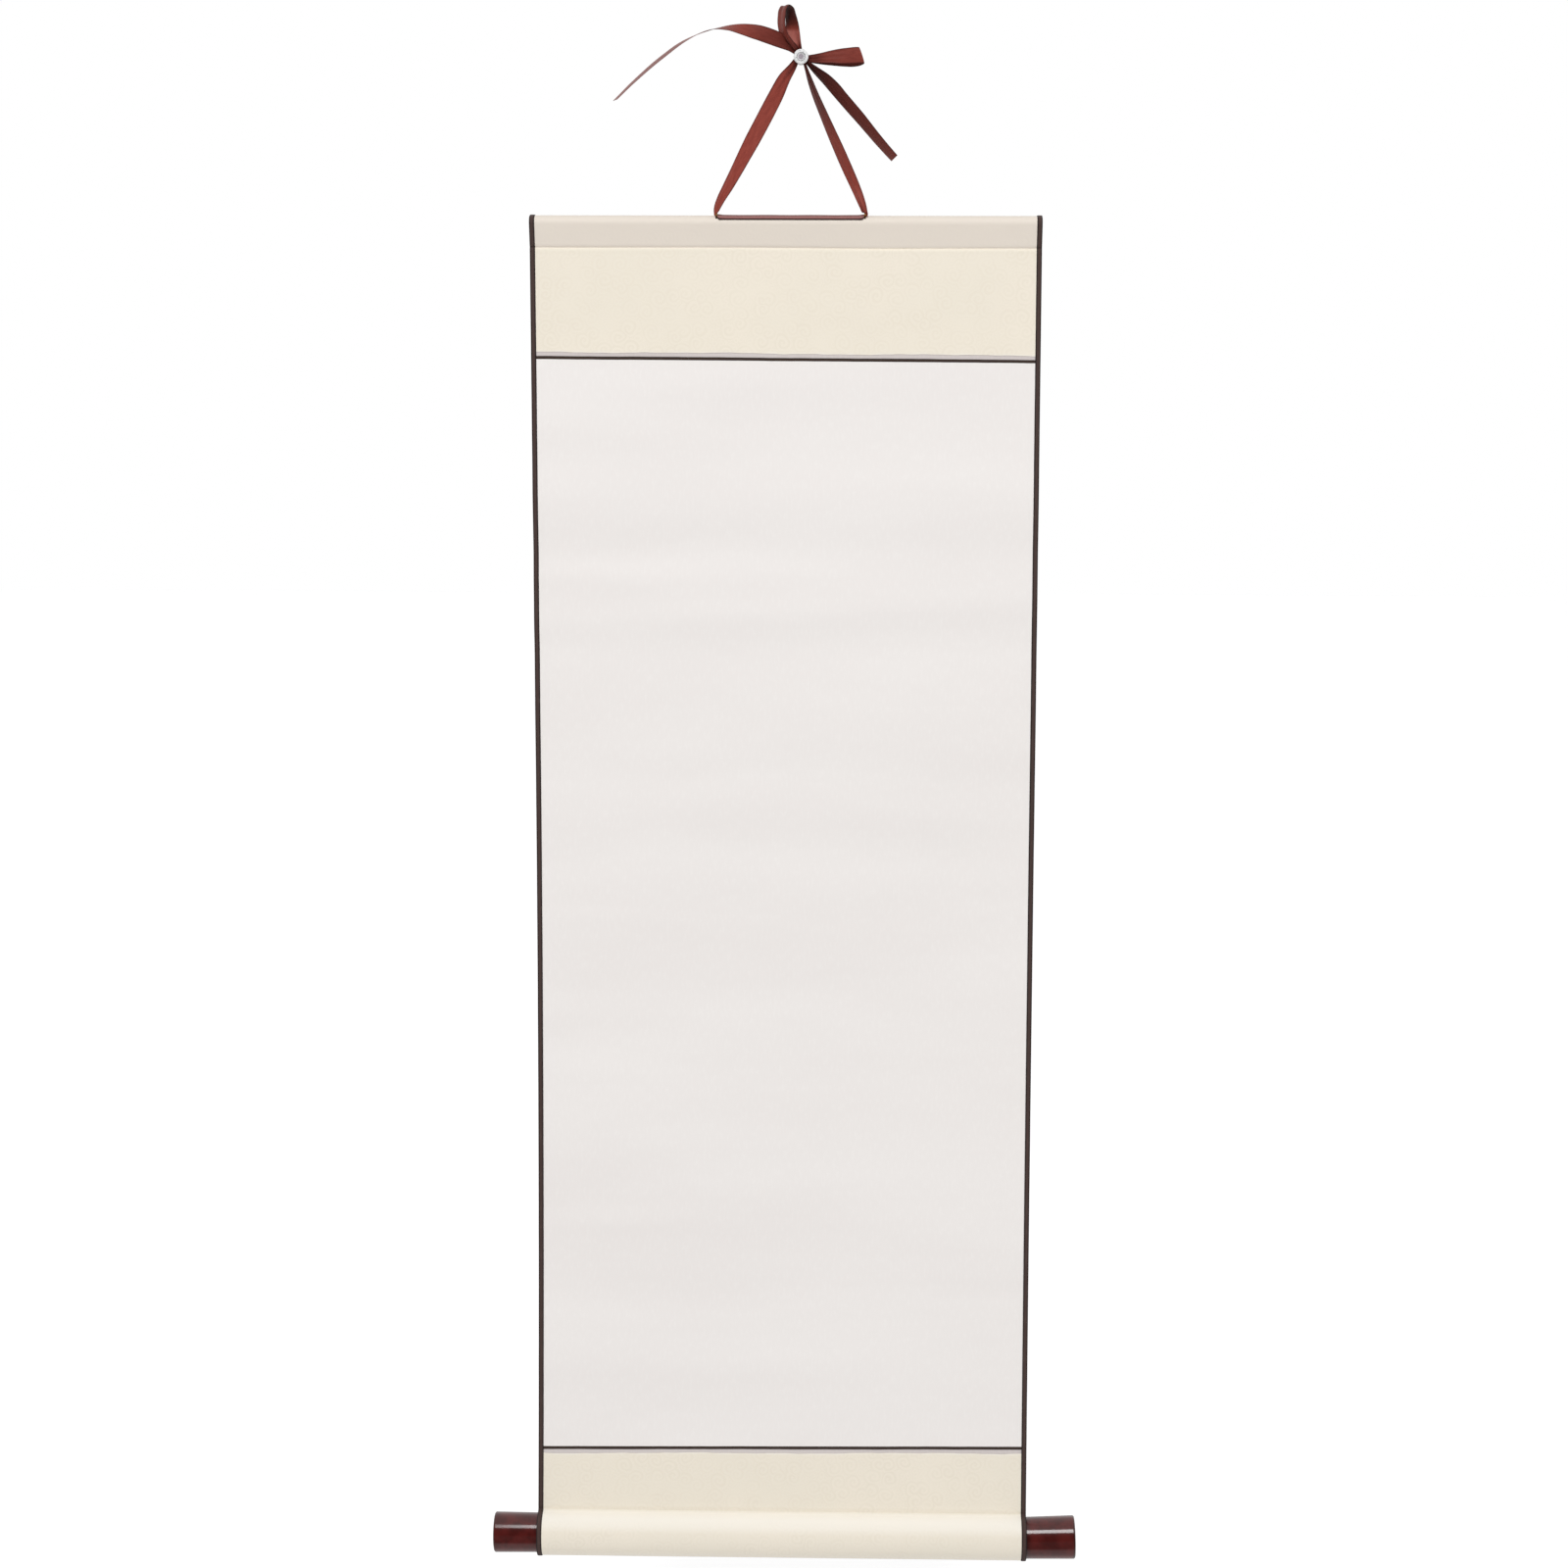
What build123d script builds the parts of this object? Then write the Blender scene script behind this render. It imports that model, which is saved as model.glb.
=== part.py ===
"""Hanging paper scroll on a ribbon loop, tied round a push pin. Millimetres, +Z up, front towards -Y.

The origin is where the push pin's axis meets the wall. Paper, cloth and tape lie in layers that share one
side view: slat at the top, sheet hanging from its lower front edge, roller at the foot.
"""
import os
from math import atan2, cos, degrees, radians, sin

from build123d import *

# Sheet, as it hangs
scroll_width = 330.0          # over the brown edge tapes
top_damask_drop = 68.3        # cream cloth below the slat
paper_length = 728.1          # blank white sheet
bottom_damask_drop = 41.0     # cream cloth above the roller
line_width = 2.0              # brown line at each end of the white sheet
bare_strip = 2.7              # lining left bare between brown line and cloth
curl_length = 517.0           # lower stretch that keeps some curl from being rolled up
curl_radius = 4440.0
curl_runs = 12                # the curl is laid out in this many straight runs, the same for every layer

# Layers
lining = 0.40                 # backing paper
facing = 0.35                 # cloth, white sheet and brown lines, edge to edge
tape = 0.30                   # edge tape
tape_width = 3.0
paste_gap = 0.10              # between one layer and the next that is pasted on it

# Slat in the top hem
slat_height = 19.3
slat_thick = 9.6
slat_top_round = 3.2
slat_foot_round = 1.2
wall_gap = 1.0                # between the wall and the lower back corner of the hem

# Roller and knobs
dowel_radius = 14.3
dowel_inset = 2.0             # the dowel stops this far inside each edge of the sheet
dowel_shift = 1.4             # the sheet is glued on slightly off the dowel's middle
knob_length = 34.2
knob_radius = 13.6
knob_edge_bevel = 1.0
tenon_radius = 6.0
tenon_length = 18.0
glue_gap = 0.10

# Hanging loop
loop_shift = 9.7              # pin to the right of the scroll's middle
loop_drop = 100.4             # pin down to the middle of the hem's top
eye_spacing = 95.6
eye_shift = 3.4               # middle of the eyes, right of the scroll's middle
eye_wire = 1.0                # square wire
eye_span = 6.8                # between the middles of a staple's legs
eye_height = 1.9              # hem up to the middle of the staple's crown
eye_depth = 8.0
eye_bend = 1.0                # corner cut off at each bend
ribbon_width = 10.0
ribbon_thick = 0.45
bar_back = 1.4                # ribbon on the hem reaches this far behind the hem's middle
bar_front = 3.6               # and this far down its rounded front edge
bar_overlap = 2.6             # legs run on into the stretch on the hem
eye_turn = 2.2                # the ribbon turns up this far outside its eye
eye_slack = 0.2               # between the gathered ribbon and what it passes
knot_radius = 4.1
knot_gap = 1.5                # between the knot and each end of the pin's waist

# Push pin
pin_flange_radius = 4.75
pin_flange = 1.8
pin_waist_radius = 2.1
pin_waist = 8.0
pin_disc = 2.6
pin_edge_bevel = 0.5
pin_dimple_radius = 2.3
pin_dimple = 0.35
pin_clearance = 0.15
needle_radius = 0.55
needle_out = 9.5
needle_tip = 1.6
needle_in = 7.0
needle_core_radius = 0.35     # where the head is moulded round it

# Places that follow from the sizes
lean = atan2(slat_thick / 2, slat_height)      # the eyes hang straight above the sheet
hem = lining + facing
mid_x = -loop_shift
sheet_half = scroll_width / 2 - tape
sheet_y = -(slat_thick * cos(lean) + hem + lining + wall_gap)
station_line1 = top_damask_drop + bare_strip
station_paper = station_line1 + line_width
station_line2 = station_paper + paper_length
station_damask2 = station_line2 + line_width + bare_strip
sheet_length = station_damask2 + bottom_damask_drop
straight_length = sheet_length - curl_length

# The slat's own side view has u across it and v up it, turned so that its top leans to the front.
# The sheet leaves it where the lower front rounding starts.
start_u = -slat_thick / 2 - lining
start_v = -slat_height / 2 + slat_foot_round
hem_top = slat_height / 2 + hem
slat_y = sheet_y - start_u * cos(lean) + start_v * sin(lean)
slat_z = -loop_drop - hem_top * cos(lean)
sheet_z = slat_z + start_u * sin(lean) + start_v * cos(lean)
slat_place = Location((slat_y, slat_z, 0), (0, 0, degrees(lean)))


def hang(station, out=0.0):
    """Point of the side view, a length down the sheet and a distance out to its front.

    Straight down first, then along the runs of an arc that brings the foot forward.
    """
    if station <= straight_length:
        return (sheet_y - out, sheet_z - station)
    past = (station - straight_length) / curl_run
    first = min(int(past), curl_runs - 1)
    turns = [(first + end) * curl_run / curl_radius for end in (0, 1)]
    reach = curl_radius - out
    ys, zs = [[reach * way(turn) for turn in turns] for way in (cos, sin)]
    share = past - first
    return (sheet_y - curl_radius + ys[0] + share * (ys[1] - ys[0]),
            sheet_z - straight_length - zs[0] - share * (zs[1] - zs[0]))


curl_run = curl_length / curl_runs
curl_turn = curl_length / curl_radius
foot_y, foot_z = hang(sheet_length)
roller_radius = dowel_radius + hem
roller_y = foot_y - roller_radius * sin(curl_turn)
roller_z = foot_z - roller_radius * cos(curl_turn)


def band(back, front, start, end):
    """Side view of a layer of the sheet between two distances out and two stations."""
    bends = [straight_length + index * curl_run for index in range(curl_runs)]
    cuts = [start] + [bend for bend in bends if start < bend < end] + [end]
    rear = [hang(cut, back) for cut in cuts]
    face = [hang(cut, front) for cut in reversed(cuts)]
    return make_face(Polyline(*rear, *face, close=True))


def slat(wrap=0.0):
    """Side view of the slat inside a wrap of the given thickness: flat faces, rounder at the top."""
    blank = Rectangle(slat_thick + 2 * wrap, slat_height + 2 * wrap)
    blank = fillet(blank.vertices().group_by(Axis.Y)[-1], slat_top_round + wrap)
    blank = fillet(blank.vertices().group_by(Axis.Y)[0], slat_foot_round + wrap)
    return slat_place * blank


def roller(wrap=0.0):
    """Side view of the dowel inside a wrap of the given thickness."""
    return Pos(roller_y, roller_z) * Circle(dowel_radius + wrap)


def mounted(wrap, back, front):
    """Side view of slat, sheet and roller, all within wraps of the given thicknesses."""
    return slat(wrap) + band(-back, front, -slat_foot_round / 2, sheet_length + lining) + roller(wrap)


def across(face, left, right):
    """A side view drawn out from one x to another, counted from the scroll's middle."""
    return extrude(Plane.YZ.offset(mid_x + left) * face, amount=right - left)


# Staple eyes, upright in the slat's leaning top
def eye(x):
    """Staple seen from the scroll's end, drawn out to the width of its wire."""
    def bent(half, crown, cut):
        return [(-half, crown - cut), (-half + cut, crown), (half - cut, crown), (half, crown - cut)]

    foot = hem_top - eye_depth
    outside = bent(eye_span / 2 + eye_wire / 2, hem_top + eye_height + eye_wire / 2, eye_bend)
    inside = bent(eye_span / 2 - eye_wire / 2, hem_top + eye_height - eye_wire / 2, eye_bend / 2)
    feet = [[(half, foot) for half in ends] for ends in (
        (eye_span / 2 + eye_wire / 2, eye_span / 2 - eye_wire / 2),
        (-eye_span / 2 + eye_wire / 2, -eye_span / 2 - eye_wire / 2))]
    outline = slat_place * make_face(Polyline(*outside, *feet[0], *inside[::-1], *feet[1], close=True))
    return extrude(Plane.YZ.offset(x - eye_wire / 2) * outline, amount=eye_wire)


eye_x = [mid_x + eye_shift + side * eye_spacing / 2 for side in (-1, 1)]
left_eye, right_eye = eye(eye_x[0]), eye(eye_x[1])
eyes = left_eye + right_eye

# Rods and sheets, from the inside out
bare_rods = slat() + roller()
lined = mounted(lining, lining, 0)
pasted = mounted(lining + paste_gap, lining, paste_gap)
faced = mounted(hem + paste_gap, lining + paste_gap, facing + paste_gap)
top_rod = across(slat(), -sheet_half, sheet_half) - eyes
backing_paper = across(lined - bare_rods, -sheet_half, sheet_half) - eyes
upper_cloth = slat(hem) + band(0, facing, -slat_foot_round / 2, top_damask_drop) - pasted
top_damask = across(upper_cloth, -sheet_half, sheet_half) - eyes
lower_cloth = band(0, facing, station_damask2, sheet_length + lining) + roller(hem) - pasted
bottom_damask = across(lower_cloth, -sheet_half, sheet_half)


def sheet_piece(start, end):
    """A flat piece of the front layer, pasted on the lining between two stations."""
    return across(band(paste_gap, facing, start, end), -sheet_half, sheet_half)


upper_brown_line = sheet_piece(station_line1, station_paper)
painting_paper = sheet_piece(station_paper, station_line2)
lower_brown_line = sheet_piece(station_line2, station_line2 + line_width)


# Edge tapes: folded round the sheet's edge and on round both hems, over the ends of the layers
def edge_tape(side):
    edge, fold, inner = side * scroll_width / 2, side * sheet_half, side * (scroll_width / 2 - tape_width)
    blank = across(mounted(hem + tape, lining + tape, hem - lining + tape), *sorted((inner, edge)))
    blank -= across(faced, *sorted((inner - side, fold)))
    return blank - across(bare_rods, *sorted((inner - side, edge + side)))


left_binding, right_binding = edge_tape(-1), edge_tape(1)

# Dowel with a bored end for each knob's tenon
dowel_half = scroll_width / 2 - dowel_inset
dowel = across(roller(), dowel_shift - dowel_half, dowel_shift + dowel_half)
roller_axis = Plane((mid_x + dowel_shift, roller_y, roller_z), x_dir=(0, 0, 1), z_dir=(1, 0, 0))
bore_depth = tenon_length + 2 * glue_gap
for side in (-1, 1):
    bore_middle = side * (dowel_half - bore_depth / 2)
    dowel -= roller_axis * Pos(0, 0, bore_middle) * Cylinder(tenon_radius + glue_gap, bore_depth)
bottom_roller = dowel


def knob(side):
    """Turned knob on a tenon, its outer edge bevelled."""
    start = dowel_half
    end = start + knob_length
    face = make_face(Polyline(
        (0, start - tenon_length), (tenon_radius, start - tenon_length), (tenon_radius, start),
        (knob_radius, start), (knob_radius, end - knob_edge_bevel), (knob_radius - knob_edge_bevel, end),
        (0, end), close=True))
    turned = revolve(Plane.XZ * face, Axis.Z)
    if side < 0:
        turned = mirror(turned, Plane.XY)
    return roller_axis * turned


left_knob, right_knob = knob(-1), knob(1)

# Push pin: wall flange, waist and disc with a dimple, moulded round a steel needle
waist_end = pin_flange + pin_waist
pin_front = waist_end + pin_disc
bevel_foot = pin_flange_radius - pin_edge_bevel
pin_profile = Polyline(
    (0, 0), (pin_flange_radius, 0), (pin_flange_radius, pin_flange - pin_edge_bevel), (bevel_foot, pin_flange),
    (pin_waist_radius, pin_flange), (pin_waist_radius, waist_end), (pin_flange_radius, waist_end),
    (pin_flange_radius, pin_front - pin_edge_bevel), (bevel_foot, pin_front),
    (pin_dimple_radius, pin_front), (pin_dimple_radius, pin_front - pin_dimple), (0, pin_front - pin_dimple),
    close=True)
pin_axis = Plane((0, 0, 0), x_dir=(1, 0, 0), z_dir=(0, -1, 0))
pin_body = revolve(Plane.XZ * make_face(pin_profile), Axis.Z)
needle_face = make_face(Polyline(
    (0, -needle_out), (needle_radius, -needle_out + needle_tip), (needle_radius, 0), (needle_core_radius, 0),
    (needle_core_radius, needle_in), (0, needle_in), close=True))
push_pin_needle = pin_axis * revolve(Plane.XZ * needle_face, Axis.Z)
push_pin_head = pin_axis * pin_body - push_pin_needle


# Ribbon
def strand(stations):
    """A length of ribbon through stations: a place, the share of the full width there, and how far the
    ribbon is turned about its own run, from 0 flat to the viewer to 90 edge on.
    """
    places = [Vector(*station[0]) for station in stations]
    sections = []
    for index, (place, (_, share, turn)) in enumerate(zip(places, stations)):
        run = (places[min(index + 1, len(places) - 1)] - places[max(index - 1, 0)]).normalized()
        level = Vector(0, -1, 0).cross(run).normalized()
        width_way = level * cos(radians(turn)) + run.cross(level) * sin(radians(turn))
        cut = Rectangle(share * ribbon_width, ribbon_thick)
        sections.append(Plane(place, x_dir=width_way, z_dir=run) * cut)
    return loft(sections, ruled=True)


def on_hem(x, rise):
    """Point above the middle of the hem's top."""
    height = hem_top + rise
    return Vector(x, slat_y - height * sin(lean), slat_z + height * cos(lean))


def leg(side, start, stations):
    """One side of the hanging loop: down from the knot, round outside its eye and in under the eye's crown.

    A station here is its share of the way down, how far it stands to the right of the straight line, its
    share of the width and its turn.
    """
    x = eye_x[0] if side < 0 else eye_x[1]
    outside = on_hem(x + side * eye_turn, eye_turn + ribbon_thick)
    down = [(start + (outside - start) * along + Vector(aside, 0, 0), share, turn)
            for along, aside, share, turn in stations]
    flat_on_hem = 90 - side * degrees(lean)
    under = ribbon_thick / 2 + eye_slack
    gathered = (eye_span - eye_wire - 4 * eye_slack) / ribbon_width
    return strand(down + [
        (outside, gathered, 70), (on_hem(x + side * eye_wire, under), gathered, flat_on_hem),
        (on_hem(x - side * bar_overlap, under), gathered, flat_on_hem)])


knot_y = -(pin_flange + pin_waist / 2)
left_leg = leg(-1, Vector(-2.6, knot_y, -2.2), [
    (0, 0, 0.55, -20), (0.21, -1.7, 0.9, -12), (0.39, -1.9, 1.0, 5), (0.61, -0.7, 0.97, 20),
    (0.83, -0.3, 0.85, 38), (0.94, -0.7, 0.64, 54)])
right_leg = leg(1, Vector(1.4, knot_y, -2.8), [
    (0, 0, 0.55, 75), (0.2, -1.2, 0.85, 64), (0.41, -1.6, 1.0, 55), (0.62, -2.1, 1.0, 48),
    (0.8, -1.6, 0.9, 46), (0.94, -0.9, 0.65, 56)])
long_tail = strand([
    ((-1.6, knot_y, 2.8), 0.55, 15), ((-9.1, -8.4, 8.0), 0.85, 10), ((-14.0, -11.0, 11.2), 0.95, 14),
    ((-23.9, -15.0, 14.5), 1.0, 24), ((-35.0, -18.0, 16.8), 1.0, 50), ((-44.9, -20.0, 16.9), 1.0, 68),
    ((-55.5, -21.0, 15.8), 1.0, 86), ((-64.2, -21.0, 13.7), 1.0, 100), ((-78.0, -20.0, 5.9), 1.0, 106),
    ((-100.1, -18.0, -11.0), 1.0, 106), ((-119.1, -16.0, -28.1), 1.0, 104)])
short_tail = strand([
    ((2.2, knot_y, -1.8), 0.5, 55), ((12.0, -10.0, -11.1), 0.9, 55), ((20.5, -12.0, -19.2), 1.0, 45),
    ((37.9, -15.0, -38.6), 1.0, 45), ((48.7, -15.0, -51.4), 1.0, 53), ((60.0, -14.0, -64.1), 1.0, 60)])


half_width = ribbon_width / 2


def bow(frame, path, taper_frame, taper):
    """A loop of the bow: its run traced in one view, drawn out to the ribbon's width, cut to its taper."""
    loop = extrude(frame * trace(path, ribbon_thick), amount=half_width, both=True)
    outline = extrude(taper_frame * make_face(Polyline(*taper, close=True)), amount=loop_drop, both=True)
    return loop & outline


flat_path = FilletPolyline(
    (1.5, knot_y - 1.2), (15.0, -11.2), (39.2, -14.6), (39.2, -11.4), (13.0, -7.2), (1.5, knot_y + 1.0),
    radius=[8.0, 1.3, 1.3, 8.0])
flat_taper = [
    (0, -2.0), (0, 1.6), (22.0, 4.1), (42.0, 6.5), (42.0, -half_width), (33.5, -half_width), (19.0, -4.1)]
flat_bow = bow(Plane.XY, flat_path, Plane.XZ, flat_taper)

# The upright loop is turned, so that the viewer sees the outside of one half and the inside of the other.
bow_axis, bow_side = Vector(0.6, -0.8, 0), Vector(0.8, 0.6, 0)
bow_foot = Vector(0, knot_y, 0) - bow_axis
top_path = FilletPolyline(
    (0.4, 2.2), (-13.4, 12.0), (-13.4, 30.4), (-5.6, 30.4), (-5.6, 12.0), (1.4, 2.2),
    radius=[10, 3.8, 3.8, 12])
top_taper = [
    (-1.0, 0), (-half_width, 12.0), (-half_width, 34.0), (half_width, 34.0), (half_width, 14.0), (2.4, 0)]
top_bow = bow(Plane(bow_foot, x_dir=bow_side, z_dir=bow_axis), top_path,
              Plane(bow_foot, x_dir=bow_axis, z_dir=-bow_side), top_taper)

# The stretch on the hem lies over its rounded front edge, from eye to eye.
bar_window = Pos(-slat_thick / 2, hem_top) * Rectangle(slat_thick + 2 * bar_back, 2 * bar_front)
bar_section = (slat(hem + ribbon_thick) - slat(hem)) & slat_place * bar_window
bar_ends = [x - mid_x for x in (eye_x[0] + bar_overlap / 2, eye_x[1] - bar_overlap / 2)]
bar = across(bar_section, *bar_ends)
knot = pin_axis * Pos(0, 0, -knot_y) * Cylinder(knot_radius, pin_waist - 2 * knot_gap)
pin_room = pin_axis * Pos(0, 0, pin_front / 2) * Cylinder(pin_waist_radius + pin_clearance, 2 * pin_front)
ribbon = bar + left_leg + right_leg + long_tail + short_tail + flat_bow + top_bow + knot - pin_room

nodes = {
    "backing_paper": backing_paper, "painting_paper": painting_paper,
    "top_damask": top_damask, "bottom_damask": bottom_damask,
    "upper_brown_line": upper_brown_line, "lower_brown_line": lower_brown_line,
    "left_binding": left_binding, "right_binding": right_binding,
    "top_rod": top_rod, "bottom_roller": bottom_roller, "left_knob": left_knob, "right_knob": right_knob,
    "left_eye": left_eye, "right_eye": right_eye,
    "ribbon": ribbon, "push_pin_head": push_pin_head, "push_pin_needle": push_pin_needle,
}
os.makedirs("parts", exist_ok=True)
for name, solid in nodes.items():
    export_step(solid, f"parts/{name}.step")
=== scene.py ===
import bpy
import numpy as np
from mathutils import Matrix, Vector


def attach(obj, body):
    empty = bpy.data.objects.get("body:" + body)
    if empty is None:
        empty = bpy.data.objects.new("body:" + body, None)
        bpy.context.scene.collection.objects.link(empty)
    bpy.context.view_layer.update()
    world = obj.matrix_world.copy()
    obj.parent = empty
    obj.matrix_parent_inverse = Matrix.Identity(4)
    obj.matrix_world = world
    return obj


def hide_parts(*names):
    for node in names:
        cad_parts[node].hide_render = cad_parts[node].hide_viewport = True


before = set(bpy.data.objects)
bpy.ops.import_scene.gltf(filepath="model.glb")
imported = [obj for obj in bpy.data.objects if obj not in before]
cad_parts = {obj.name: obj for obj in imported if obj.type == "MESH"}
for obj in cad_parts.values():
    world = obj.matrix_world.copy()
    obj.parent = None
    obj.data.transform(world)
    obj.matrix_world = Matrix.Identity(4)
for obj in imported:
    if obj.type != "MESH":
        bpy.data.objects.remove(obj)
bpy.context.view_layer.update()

metre = 0.001     # a millimetre in the frame's metres
print("paper scroll: frame loaded")

# Every shape below is worked out in millimetres, in the frame of the solids: +Z up, front towards -Y, and the
# origin where the push pin's axis meets the wall. The scroll's own middle is at x = middleX.
scroll = {
    "width": 330.0, "middleX": -9.7, "lining": 0.40, "facing": 0.35, "tape": 0.30, "tapeWidth": 3.0,
    "topCloth": 68.3, "bareStrip": 2.7, "line": 2.0, "paper": 728.1, "lowerCloth": 41.0,
    "curlLength": 517.0, "curlRadius": 4440.0, "wallGap": 1.0,
    "slatHeight": 19.3, "slatThick": 9.6, "slatTopRound": 3.2, "slatFootRound": 1.2, "loopDrop": 100.4,
    "dowelRadius": 14.3, "dowelShift": 1.4, "dowelInset": 2.0, "staples": (-54.1, 41.5),
}
# the strips were pasted on not quite level: slopes, one shift and the sheet's sideways sway
askew = {"top": 0.0056, "topShift": -0.2, "low": -0.0094, "sway": 0.45}
middleX = scroll["middleX"]
slatHalf, slatHigh = scroll["slatThick"] / 2, scroll["slatHeight"] / 2
camera = {"place": (39.5, -2061.4, -144.1), "yaw": 1.38, "pitch": 9.04, "roll": -0.12, "lens": 72.0}


# Camera and stage

def turned(about, degrees):
    return np.array(Matrix.Rotation(np.radians(degrees), 3, about))


def setCamera():
    # the view's own axes: across the picture, into it and up it
    axes = turned("Z", camera["yaw"]) @ turned("X", -camera["pitch"]) @ turned("Y", camera["roll"])
    data = bpy.data.cameras.new("photoView")
    data.lens = camera["lens"]
    data.sensor_width = 36.0
    data.clip_end = 60.0
    eye = bpy.data.objects.new("photoView", data)
    looking = np.stack([axes[:, 0], axes[:, 2], -axes[:, 1]], axis=1)   # Blender looks along its own -Z
    eye.matrix_world = Matrix.Translation(Vector(camera["place"]) * metre) @ Matrix(looking.tolist()).to_4x4()
    bpy.context.collection.objects.link(eye)
    bpy.context.scene.camera = eye
    bpy.context.scene.view_settings.view_transform = "Standard"


setCamera()


# Shader maths: a wire is a node's output, and the usual signs between wires and numbers add Math nodes

class Wire:
    def __init__(self, nodes, socket):
        self.nodes, self.socket = nodes, socket

    def maths(self, operation, *values):
        return self.nodes.node("Math", {"operation": operation}, dict(enumerate(values)))

    def __add__(self, other): return self.maths("ADD", self, other)
    def __sub__(self, other): return self.maths("SUBTRACT", self, other)
    def __rsub__(self, other): return self.maths("SUBTRACT", other, self)
    def __mul__(self, other): return self.maths("MULTIPLY", self, other)
    __radd__, __rmul__ = __add__, __mul__

    def sine(self): return self.maths("SINE", self)
    def size(self): return self.maths("ABSOLUTE", self)
    def least(self, other): return self.maths("MINIMUM", self, other)

    def between(self, low, high):
        # 0 below low, 1 above high, and a soft rise in the middle
        values = {"Value": self, "From Min": low, "From Max": high}
        return self.nodes.node("MapRange", {"interpolation_type": "SMOOTHSTEP"}, values)


class Nodes:
    def __init__(self, tree):
        self.tree = tree

    def node(self, kind, settings=None, values=None, output=0):
        # one node: its settings first, then what its sockets get
        made = self.tree.nodes.new("ShaderNode" + kind)
        for setting, value in (settings or {}).items():
            setattr(made, setting, value)
        for socket, value in (values or {}).items():
            if isinstance(value, Wire):
                self.tree.links.new(value.socket, made.inputs[socket])
            else:
                made.inputs[socket].default_value = value
        return Wire(self, made.outputs[output])

    def place(self, scale=(1.0, 1.0, 1.0)):
        return self.node("Mapping", values={"Vector": self.node("TexCoord", output="Object"), "Scale": scale})

    def cloth(self, across=1.0, along=1.0):
        # the piece's own map: across it and along it, in millimetres
        where = self.node("UVMap", {"uv_map": "cut"})
        return self.node("Mapping", values={"Vector": where, "Scale": (across, along, 1.0)})

    def noise(self, where, scale, detail=2.0, roughness=0.5):
        values = {"Vector": where, "Scale": scale, "Detail": detail, "Roughness": roughness}
        return self.node("TexNoise", values=values, output="Fac")

    def tone(self):
        # the number that a piece's mesh carries at each point
        return self.node("Attribute", {"attribute_name": "tone"}, output="Fac")

    def parts(self, vector):
        made = self.node("SeparateXYZ", values={"Vector": vector})
        return [Wire(self, socket) for socket in made.socket.node.outputs]

    def blend(self, amount, first, second):
        # colours through a Mix node; plain colours have no alpha here
        first, second = [(*side, 1.0) if isinstance(side, tuple) else side for side in (first, second)]
        return self.node("Mix", {"data_type": "RGBA"}, {0: amount, 6: first, 7: second}, 2)


class Finish(Nodes):
    def __init__(self, name, **fixed):
        self.material = bpy.data.materials.new(name)
        self.material.use_nodes = True
        super().__init__(self.material.node_tree)
        self.shader = self.tree.nodes["Principled BSDF"]
        for socket, value in fixed.items():
            self.shader.inputs[socket.replace("_", " ")].default_value = value

    def feed(self, socket, value):
        self.tree.links.new(value.socket, self.shader.inputs[socket])

    def looks(self, colour, rough, height, depth, strength):
        # the relief's height runs from 0 to 1, and depth is what 1 stands for, in millimetres
        values = {"Height": height, "Distance": depth * metre, "Strength": strength}
        self.feed("Normal", self.node("Bump", values=values))
        self.feed("Base Color", colour)
        self.feed("Roughness", rough)
        return self


stage = {"floor": -1.22, "half": 9.0, "floorColour": 0.86, "floorLift": 0.50, "ambient": 0.555,
         "keyPower": 63.0, "keySize": (0.98, 1.35), "keyPlace": (-0.07, -2.60, 2.50), "keyAim": (-0.01, 0.0, -0.55),
         "frontDark": 0.03, "frontFade": (0.20, 0.70), "floorGlow": 0.09, "floorFront": -0.27, "floorDark": 0.03}


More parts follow.
